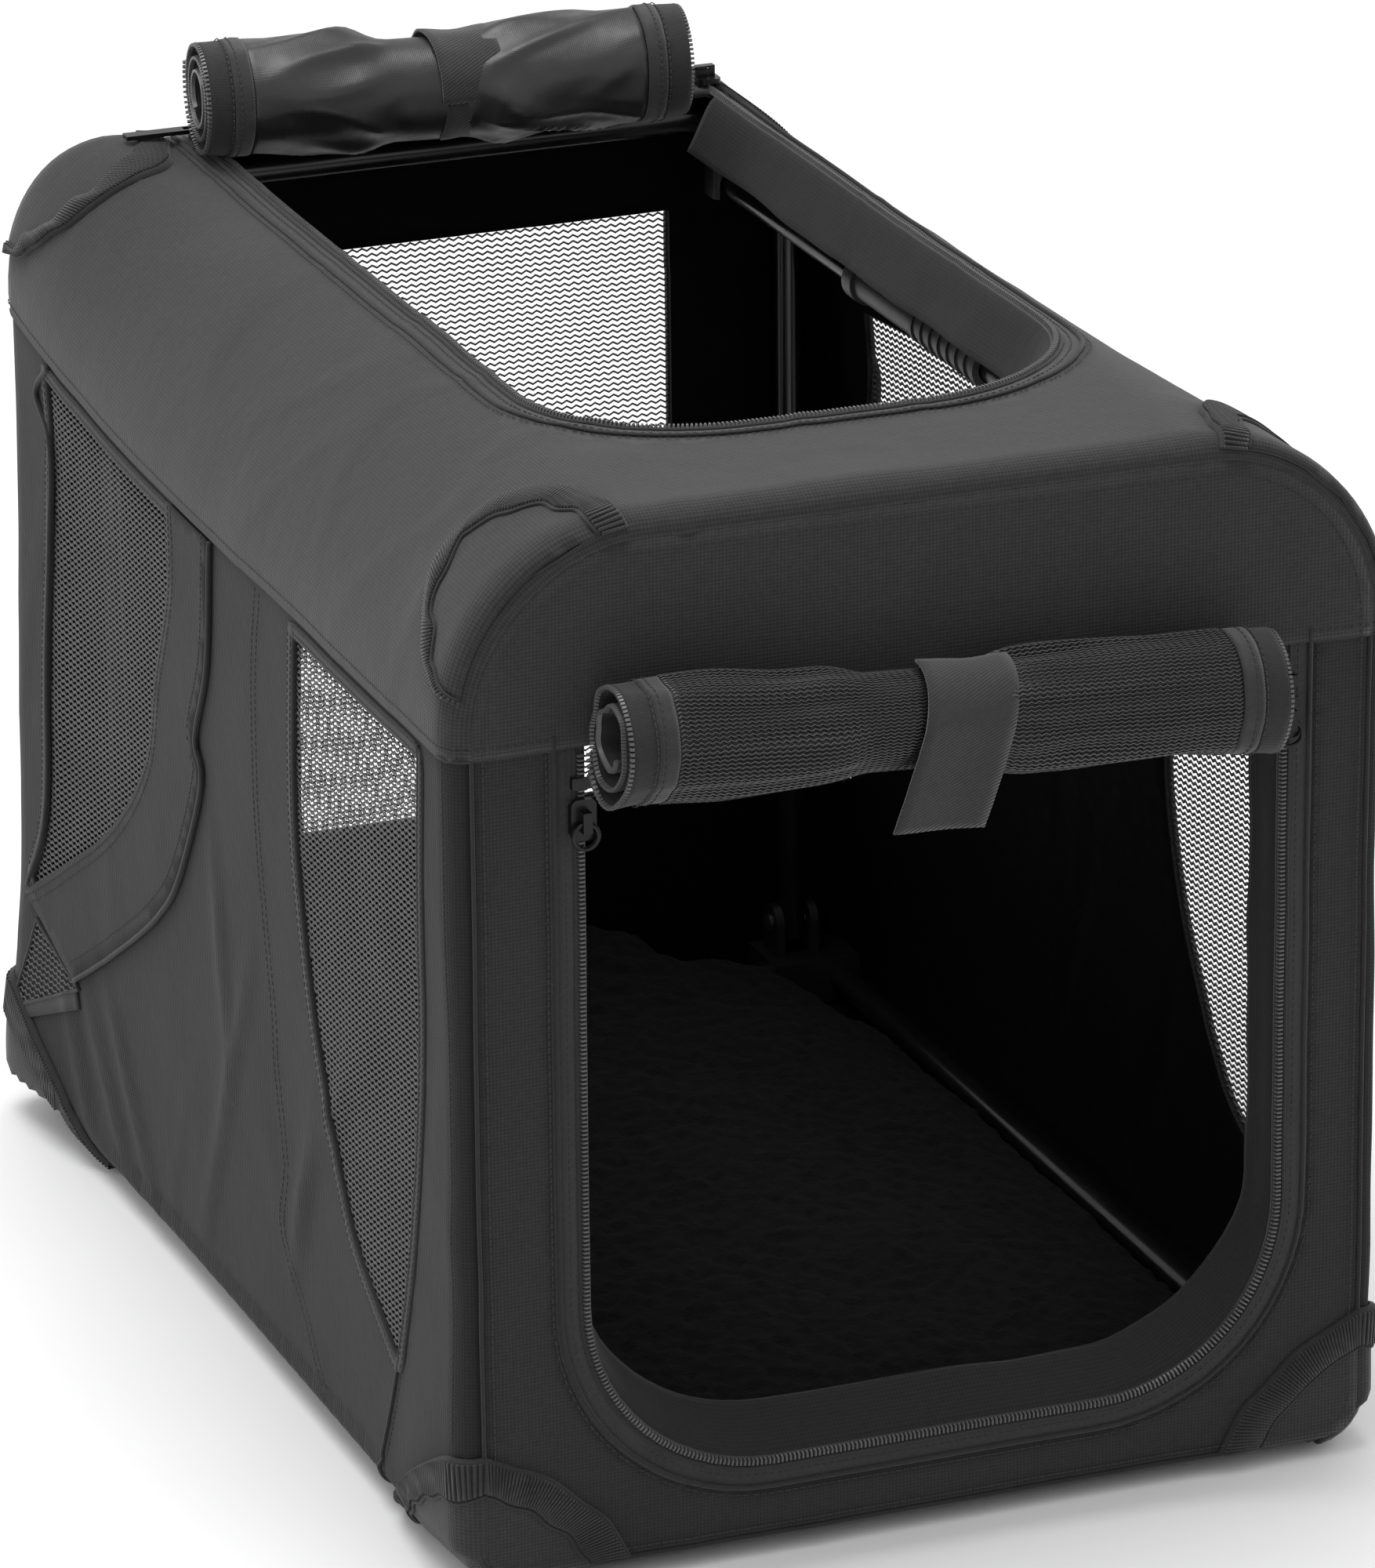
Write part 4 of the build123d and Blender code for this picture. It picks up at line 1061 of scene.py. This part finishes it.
def door_shape(t, angle, v, r):
    """The door's roll: slightly oval, pinched under the strap, its layers loose."""
    pinch = held(t, DOOR_TIE, 0.07)
    wave = 0.0030 * noise.noise(Vector((t * 6.0, math.cos(angle) * 1.3, math.sin(angle) * 1.3 + v)))
    pleat = 0.0034 * noise.noise(Vector((t * 1.6, angle * 2.6, v * 0.4))) * max(0.0, math.sin(PI * t)) ** 0.5
    end = (2 * t - 1) ** 4
    oval = 1.0 + 0.05 * math.sin(angle) ** 2 + 0.10 * end * (1.0 + math.sin(angle))
    return r * oval * (1.0 - 0.16 * pinch) + (wave + pleat) * (1.0 - pinch), -0.0012 * math.sin(PI * t)


def flap_shape(t, angle, v, r):
    """The roof flap's roll: coated cloth that bags between its stiff zipped ends."""
    mid = math.sin(PI * min(1.0, max(0.0, t)))
    pinch = held(t, HATCH_TIE, 0.07)
    p = Vector((t * 3.4, math.cos(angle) * 0.9, math.sin(angle) * 0.9 + v * 0.5))
    wave = 0.0065 * mid * noise.noise(p) + 0.0012 * mid * noise.noise(p * 2.7)
    fold = Vector((t * 4.5 + math.cos(angle) * 1.3, math.sin(angle) * 1.1, 3.0))
    ridge = 0.0034 * mid * max(0.0, 1.0 - 3.0 * abs(noise.noise(fold))) ** 2
    return r * (1.0 - 0.11 * pinch + 0.04 * mid) + (wave + ridge) * (1.0 - pinch), -0.004 * mid


ROLL_LO, ROLL_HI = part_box("front_door_roll")
roll_r = (ROLL_HI.y - ROLL_LO.y) / 2
roll_y = (ROLL_LO.y + ROLL_HI.y) / 2
door_roll = Roll(
    (ROLL_LO.x + 0.001, roll_y, ROLL_HI.z - roll_r),
    (ROLL_HI.x - 0.001, roll_y, ROLL_LO.z + roll_r),
    radius=roll_r,
    core=0.010,
    turns=2.3,
    start=math.radians(150),
    shape=door_shape,
)
FLAP_LO, FLAP_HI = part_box("top_flap_roll")
flap_r = (FLAP_HI.z - FLAP_LO.z) / 2
flap_z = (FLAP_LO.z + FLAP_HI.z) / 2
flap_roll = Roll(
    (FLAP_LO.x + 0.002, FLAP_HI.y - flap_r, flap_z - 0.004),
    (FLAP_HI.x - 0.002, FLAP_LO.y + flap_r, flap_z - 0.004),
    radius=flap_r - 0.001,
    core=0.010,
    turns=3.2,
    start=math.radians(200),
    shape=flap_shape,
)

END_TAPE, END_STRIP = 0.011, 0.009  # widths of the zip tape and of the strip beside it
END_EDGE = END_TAPE + END_STRIP
END_TEETH = 74  # in one turn of a roll's end


def roll_end(key, roll, end):
    """The zipped edge that shows at an end of a roll: tape, strip, teeth and two rows of stitches."""
    t, inward = (0.0, 1) if end == "left" else (roll.length, -1)
    strip = sorted((t + inward * END_TAPE, t + inward * END_EDGE))
    tape = sorted((t, t + inward * END_TAPE))
    look = dict(steps=(60, 5), slot=CLOTH_SLOT)
    rolled(f"{key}_roll_tape_{end}", roll, *tape, 0.0016, BINDING, lift=0.0003, **look)
    rolled(f"{key}_roll_strip_{end}", roll, *strip, 0.0018, TAPE, lift=0.0009, **look)
    coil = Heap()
    rows = int(roll.turns * END_TEETH)
    tall = -inward * 0.0017
    for k in range(rows):
        v = (k + 0.5) / rows * roll.turns
        wide = 0.00055 / (2 * PI * (roll.radius - (roll.radius - roll.core) * v / roll.turns))
        bar = []
        for du, high, low in ((0.0, 0.0004, -0.0018), (tall, 0.0, -0.0013)):
            corners = ((-wide, high), (wide, high), (wide, low), (-wide, low))
            bar += [roll(t + du, v + dv, dh) for dv, dh in corners]
        coil.add(bar, BEAD_FACES if inward > 0 else [f[::-1] for f in BEAD_FACES])
    coil.piece(f"{key}_roll_teeth_{end}", TEETH, smooth=False, slot="zip_coil")
    girth = 2 * PI * roll.radius
    for at in (END_TAPE - 0.001, END_TAPE + 0.003):
        row = [Vector((t + inward * at, v)) for v in np.linspace(0.01, 1.0, 60)]
        beads(stitches, roll, row, STITCH_PITCH / girth, STITCH_LONG / girth, **STITCH, lift=0.0010)


for key, roll, cloth, node, slot_name in (
    ("door", door_roll, NET_BASE_PAINTED_SHADE, "front_door_roll", "mesh_roll"),
    ("hatch", flap_roll, FLAP, "top_flap_roll", "flap_roll"),
):
    ends = (END_EDGE - 0.002, roll.length - END_EDGE + 0.002)
    rolled(f"{key}_roll_cloth", roll, *ends, 0.0012, cloth, nodes=(node,), slot=slot_name)
    for end in ("left", "right"):
        roll_end(key, roll, end)


def door_layer(u, v, h=0.0):
    """The door's roll as a surface whose v is in metres round it."""
    return door_roll(u, v / (2 * PI * door_roll.radius), h)


around = 2 * PI * door_roll.radius * 1.02
outline = rectangle(END_EDGE, 0.0, door_roll.length - END_EDGE, around)
threads = Heap()
net(threads, door_layer, outline, pitch=0.0019, wave=0.0034, wire=0.0011, height=0.0010, swap=True)
threads.piece("door_roll_mesh", ROLL_NET, slot="mesh_roll")


def flap_tail():
    """The flap between the seam at the hatch's rear and the outer end of its roll."""
    cols, rows = 40, 8
    verts, uvs = [], []
    for face in (0, 1):
        for i in range(cols + 1):
            u = flap_roll.length * i / cols
            top = flap_roll(u, 0.0)
            foot = loaf(top.x, HATCH_END + 0.008, HEM_LIFT + 0.0004)
            for j in range(rows + 1):
                t = j / rows
                q = foot.lerp(top, t)
                bow = 0.0025 * math.sin(PI * t) * (1.0 + noise.noise(q * 30.0))
                verts.append(q + Vector((0.0, bow - 0.0012 * face, 0.0)))
                uvs.append((u, t * (top - foot).length))
    make("hatch_flap_tail", verts, slab(cols, rows), (FLAP,), uvs, slot="flap_roll")


flap_tail()

# ---- straps ---------------------------------------------------------------------------
def strap(name, centre_line, half, thick, mat, slope, lean=0.0, nodes=()):
    """Webbing along a line of (y, z) points that shift by slope across it; lean carries its end sideways."""
    pts = curve(centre_line, 0.003)
    cols, last = 8, len(pts) - 1
    runs = [0.0]
    for a, b in zip(pts, pts[1:]):
        runs.append(runs[-1] + (b - a).length)
    verts, uvs = [], []
    for face in (0, 1):
        for k, (p, run) in enumerate(zip(pts, runs)):
            d = (pts[min(k + 1, last)] - pts[max(k - 1, 0)]).normalized()
            out = Vector((d.y, -d.x))
            t = run / runs[-1]
            for c in range(cols + 1):
                across = (c / cols * 2 - 1) * half[1]
                ruck = 0.0008 * noise.noise(Vector((across * 60, t * 6, 1.0)))
                cup = 0.0006 * math.cos(c / cols * 2 * PI) + ruck
                q = p + out * (cup - face * thick) + slope * across
                verts.append((half[0] + across + lean * t**1.6, q.x, q.y))
                uvs.append((run, across))
    return make(name, verts, slab(last, cols), (mat,), uvs, nodes=nodes, slot="strap")


def wrap_line(roll, t, gap, half, angles):
    """Points (y, z) just clear of a roll over a strap's width, at angles in degrees from -Y upwards."""
    line = []
    middle = t * roll.length
    centre = roll.a + roll.axis * middle
    for a in map(math.radians, angles):
        v = (roll.start + a) / (2 * PI) % 1.0
        reach = 0.0
        for k in (-1, -0.5, 0, 0.5, 1):
            u = middle + half * k
            off = roll(u, v) - roll.a - roll.axis * u
            reach = max(reach, (off - roll.axis * off.dot(roll.axis)).length)
        reach += gap
        line.append((centre.y - reach * math.cos(a), centre.z + reach * math.sin(a)))
    return line


def slant(roll):
    """How a roll's y and z change per metre of x."""
    return Vector((roll.axis.y, roll.axis.z)) / roll.axis.x


STRAP_LO, STRAP_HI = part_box("front_roll_strap")
strap_x = (STRAP_LO.x + STRAP_HI.x) / 2
door_wrap = wrap_line(door_roll, DOOR_TIE, 0.0034, 0.020, (98, 80, 60, 40, 20, 0, -12))
tail_y, tail_z = door_wrap[-1]
strap(
    "door_strap",
    door_wrap + [(tail_y + 0.001, tail_z - 0.014), (tail_y + 0.002, STRAP_LO.z + 0.003)],
    (strap_x + 0.002, 0.020),
    0.0014,
    STRAP,
    slant(door_roll),
    lean=-0.019,
    nodes=("front_roll_strap",),
)
TIE_LO, TIE_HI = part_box("top_roll_strap")
tie_x, tie_half = (TIE_LO.x + TIE_HI.x) / 2, 0.015
strap(
    "hatch_strap",
    wrap_line(flap_roll, HATCH_TIE, 0.0024, tie_half, (150, 120, 95, 70, 45, 20, 0, -14)),
    (tie_x, tie_half),
    0.0014,
    STRAP,
    slant(flap_roll),
    nodes=("top_roll_strap",),
)
strap(
    "hatch_strap_hook",
    wrap_line(flap_roll, HATCH_TIE, 0.0016, tie_half, (-5, -20, -35, -50, -62)),
    (tie_x + 0.001, tie_half - 0.0015),
    0.0016,
    HOOK,
    slant(flap_roll),
)

# ---- corner patches ---------------------------------------------------------------------
patch_edges, ribs_heap = Heap(), Heap()


def patch(name, surface, outline, lift, nodes=()):
    """A reinforcing piece of cloth sewn over a corner."""
    loop = ccw(spaced(outline, closed=True))
    sheet(name, surface, loop, thick=0.0016, lift=lift, step=0.006, mats=(OXFORD, BINDING), nodes=nodes)


def even(path, count):
    """The same path as this many evenly spaced points."""
    lengths = [0.0]
    for a, b in zip(path, path[1:]):
        lengths.append(lengths[-1] + (b - a).length)
    spots = np.linspace(0.0, lengths[-1], count)
    xs = np.interp(spots, lengths, [p.x for p in path])
    ys = np.interp(spots, lengths, [p.y for p in path])
    return [Vector(p) for p in zip(xs, ys)]


def ribbed_edge(surface, outer, inner, lift):
    """Overlocked band between a patch's free edge and its gathered line, ribbed across by the threads."""
    count = 46
    first, second = even(outer, count), even(inner, count)
    verts, uvs, faces = [], [], []
    for k, (a, b) in enumerate(zip(first, second)):
        for t, out in ((-0.04, -0.0014), (0.0, 0.0008), (0.12, 0.0014), (0.9, 0.0014), (1.0, 0.0002)):
            q = a.lerp(b, t)
            verts.append(surface(q.x, q.y, lift + out))
            uvs.append((k * 0.003, t * 0.01))
    for k in range(count - 1):
        for j in range(4):
            i = k * 5 + j
            faces.append((i, i + 1, i + 6, i + 5))
    patch_edges.add(verts, faces, uvs)
    ribs = int(sum((b - a).length for a, b in zip(first, first[1:])) / 0.0017)
    for a, b in zip(even(outer, ribs), even(inner, ribs)):
        along = (b - a).normalized()
        across = Vector((-along.y, along.x)) * 0.00045
        ends = (a.lerp(b, 0.05), a.lerp(b, 0.93))
        low = [ends[0] - across, ends[1] - across, ends[1] + across, ends[0] + across]
        high = [p.lerp((ends[0] + ends[1]) / 2, 0.04) for p in low]
        verts = [surface(p.x, p.y, lift + 0.0012) for p in low]
        verts += [surface(p.x, p.y, lift + 0.0021) for p in high]
        ribs_heap.add(verts, BEAD_FACES)
    cord(surface, even(inner, 2 * count), 0.0008, lift + 0.0005)


def placed(points, sx, sy, wobble=0.0):
    """A curve given for the right rear corner, moved to another corner, with a slight hand-sewn wave."""
    out = []
    for k, p in enumerate(curve(points, 0.003)):
        shift = Vector((1.0, 0.6)) * wobble * math.sin(k * 0.9 + sx + 2 * sy)
        out.append(Vector((sx * p.x, sy * p.y)) + shift)
    return out


# free edge and gathered line of a patch, as places (u, v) on the right rear corner or (x, z) on the end face
SHOULDER_OUTER = [(0.132, 0.300), (0.137, 0.273), (0.146, 0.248), (0.163, 0.238), (0.184, 0.238)]
SHOULDER_OUTER += [(0.202, 0.242), (0.219, 0.256), (0.234, 0.273), (0.243, 0.300)]
SHOULDER_INNER = [(0.145, 0.300), (0.149, 0.282), (0.157, 0.264), (0.170, 0.256), (0.184, 0.247)]
SHOULDER_INNER += [(0.199, 0.254), (0.213, 0.258), (0.221, 0.272), (0.232, 0.280), (0.240, 0.300)]
FOOT_OUTER = [(0.640, 0.200), (0.629, 0.213), (0.613, 0.232), (0.596, 0.258), (0.581, 0.286), (0.577, END_V)]
FOOT_INNER = [(0.656, 0.208), (0.647, 0.219), (0.635, 0.228), (0.622, 0.243), (0.604, 0.274), (0.594, END_V)]
FACE_OUTER = [(0.201, 0.0665), (0.188, 0.060), (0.172, 0.052), (0.157, 0.038), (0.146, 0.028), (0.136, 0.0095)]
FACE_INNER = [(0.201, 0.0490), (0.188, 0.043), (0.173, 0.032), (0.161, 0.020), (0.155, 0.0095)]
foot_corner = rim_points(wall_u(FACE_OUTER[0][1], 1), UNDER_START + HALF - R_FOOT - FACE_OUTER[-1][0], 30)

first = True
for sx in (-1, 1):
    for sy in (-1, 1):
        tag = ("left" if sx < 0 else "right") + ("_front" if sy < 0 else "_rear")
        lift = HEM_LIFT + 0.0016
        outer, inner = placed(SHOULDER_OUTER, sx, sy, 0.0005), placed(SHOULDER_INNER, sx, sy, 0.0012)
        edge = [Vector((p.x, sy * min(abs(p.y), END_V))) for p in outer]
        patch(f"top_patch_{tag}", loaf, edge, lift, ("top_corner_patches",) if first else ())
        ribbed_edge(loaf, outer, inner, lift)
        outer, inner = placed(FOOT_OUTER, sx, sy), placed(FOOT_INNER, sx, sy, 0.0008)
        edge = outer + [Vector((sx * 0.656, sy * END_V)), Vector((sx * 0.656, sy * 0.200))]
        patch(f"foot_patch_{tag}", loaf, edge, 0.0018, ("foot_corner_patches",) if first else ())
        ribbed_edge(loaf, outer, inner, 0.0018)
        face = front if sy < 0 else back
        flip = sx if sy < 0 else -sx
        outer, inner = placed(FACE_OUTER, flip, 1), placed(FACE_INNER, flip, 1, 0.0008)
        edge = outer + [Vector((flip * x, z)) for x, z in foot_corner[::-1]]
        patch(f"foot_patch_face_{tag}", face, edge, 0.0018)
        ribbed_edge(face, outer, inner, 0.0018)
        first = False

ribs_heap.piece("overlock_threads", OXFORD, slot=CLOTH_SLOT)
bindings.piece("edge_bindings", BINDING, slot=CLOTH_SLOT)
cords.piece("seam_cords", BINDING, slot=CLOTH_SLOT)
patch_edges.piece("patch_bindings", BINDING, slot=CLOTH_SLOT)
stitches.piece("stitches", THREAD, smooth=False, slot=CLOTH_SLOT)


# ---- fleece mat -------------------------------------------------------------------------
def fleece_mat():
    """Padded mat with a short pile: a crowned cushion whose surface is broken into tufts."""
    lo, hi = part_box("fleece_mat")
    half_x, half_y = (hi.x - lo.x) / 2, (hi.y - lo.y) / 2 + 0.008
    radius = 0.066
    puff = 0.022  # the pile's loft
    outline = []
    for k, (sx, sy) in enumerate(((1, 1), (-1, 1), (-1, -1), (1, -1))):
        corner = (sx * (half_x - radius), sy * (half_y - radius))
        outline += arc_points(corner, radius, 90 * k, 90 * k + 90, 10)
    rim = np.array([tuple(p) for p in outline])

    def top(x, y, h=0.0):
        reach = float(np.hypot(rim[:, 0] - x, rim[:, 1] - y).min())
        crown = 1.0 - math.exp(-reach / 0.014)
        p = Vector((x, y, 0.0))
        uneven = 0.0035 * noise.noise(p * 14.0)
        tuft = 0.0024 * noise.noise(p * 120.0) + 0.0020 * noise.noise(p * 260.0) + uneven
        if h < 0:
            return Vector((x, y, lo.z))
        sides = 1.0 - math.exp(-max(0.0, half_x - abs(x)) / 0.035)
        loft = puff * sides * crown + 0.016 * crown * max(0.0, (y - 0.17) / 0.1) ** 2
        return Vector((x, y, lo.z + 0.004 + (hi.z - lo.z - 0.004) * crown + tuft * crown + loft))

    step = 0.0038
    look = dict(mats=(FLEECE_PAINTED_SHADE, FLEECE_PAINTED_SHADE), soft=False, nodes=("fleece_mat",), slot="fleece")
    pad = sheet("fleece_pad", top, outline, thick=0.01, step=step, **look)
    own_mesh(pad)


fleece_mat()

# ---- finishes of the CAD parts that stay ------------------------------------------------
FINISHES = {
    TUBE_LACQUER_AND_PAINTED_SHADE: ("frame", "rail", "tube"),
    PLASTIC_AND_PAINTED_SHADE: ("corner", "saddles", "plugs"),
    GRIP: ("sleeve",),
    ZINC: ("pins", "rivets", "knee"),
    METAL: ("zip",),
    BOARD: ("board",),
}
for node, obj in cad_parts.items():
    for mat, words in FINISHES.items():
        if any(w in node for w in words):
            for slot in obj.material_slots:
                slot.link = "OBJECT"
                slot.material = mat

# ---- camera, light, floor -------------------------------------------------------------
def floor_and_light():
    """A pale studio floor, white surroundings and three soft lamps aimed at the carrier's middle."""
    mesh = bpy.data.meshes.new("studio_floor")
    reach = 14.0
    mesh.from_pydata([(*p, 0.0) for p in rectangle(-reach, -reach, reach, reach)], [], [(0, 1, 2, 3)])
    floor = bpy.data.objects.new("studio_floor", mesh)
    bpy.context.scene.collection.objects.link(floor)
    floor.location.z = cad_box[0].z - 0.0005
    n = Nodes("studio_floor")
    tone = n.ramp(n.noise(n.coords("Object"), 3.0), 0.3, 0.7, (grey(0.86), grey(0.9)))
    mesh.materials.append(n.set(Base_Color=tone, Roughness=0.6, Specular_IOR_Level=0.2))
    world = bpy.data.worlds.new("studio")
    bpy.context.scene.world = world
    world.use_nodes = True
    sky = world.node_tree.nodes["Background"].inputs
    sky["Color"].default_value = (1.0, 1.0, 1.0, 1.0)
    sky["Strength"].default_value = 0.85
    for name, place, size, power in (
        ("overhead", (-0.4, 0.3, 3.0), 2.4, 66.0),
        ("left_fill", (-3.2, -0.4, 1.6), 2.2, 6.0),
        ("front_fill", (0.6, -4.0, 1.8), 2.0, 2.0),
    ):
        lamp = bpy.data.lights.new(name, "AREA")
        lamp.shape = "DISK"
        lamp.size = size
        lamp.energy = power
        obj = bpy.data.objects.new(name, lamp)
        obj.location = place
        aim = Vector((0, 0, 0.25)) - Vector(place)
        obj.rotation_mode = "QUATERNION"
        obj.rotation_quaternion = aim.to_track_quat("-Z", "Y")
        bpy.context.scene.collection.objects.link(obj)


def camera():
    """A long lens a little above the carrier, to the left of its door."""
    eye = (-1.353, -3.513, 1.634)
    yaw, pitch, roll = math.radians(21.2), math.radians(20.4), math.radians(-0.52)
    look = Vector((math.sin(yaw) * math.cos(pitch), math.cos(yaw) * math.cos(pitch), -math.sin(pitch)))
    right = Vector((math.cos(yaw), -math.sin(yaw), 0.0))
    up = right.cross(look)
    tilted_right = right * math.cos(roll) + up * math.sin(roll)
    tilted_up = up * math.cos(roll) - right * math.sin(roll)
    cam = bpy.data.cameras.new("camera")
    cam.sensor_width = 36.0
    cam.lens = 206.2
    cam.clip_start, cam.clip_end = 0.1, 60.0
    obj = bpy.data.objects.new("camera", cam)
    turn = Matrix((tilted_right, tilted_up, -look)).transposed().to_4x4()
    obj.matrix_world = Matrix.Translation(eye) @ turn
    bpy.context.scene.collection.objects.link(obj)
    bpy.context.scene.camera = obj


floor_and_light()
camera()
bpy.context.scene.view_settings.view_transform = "Standard"
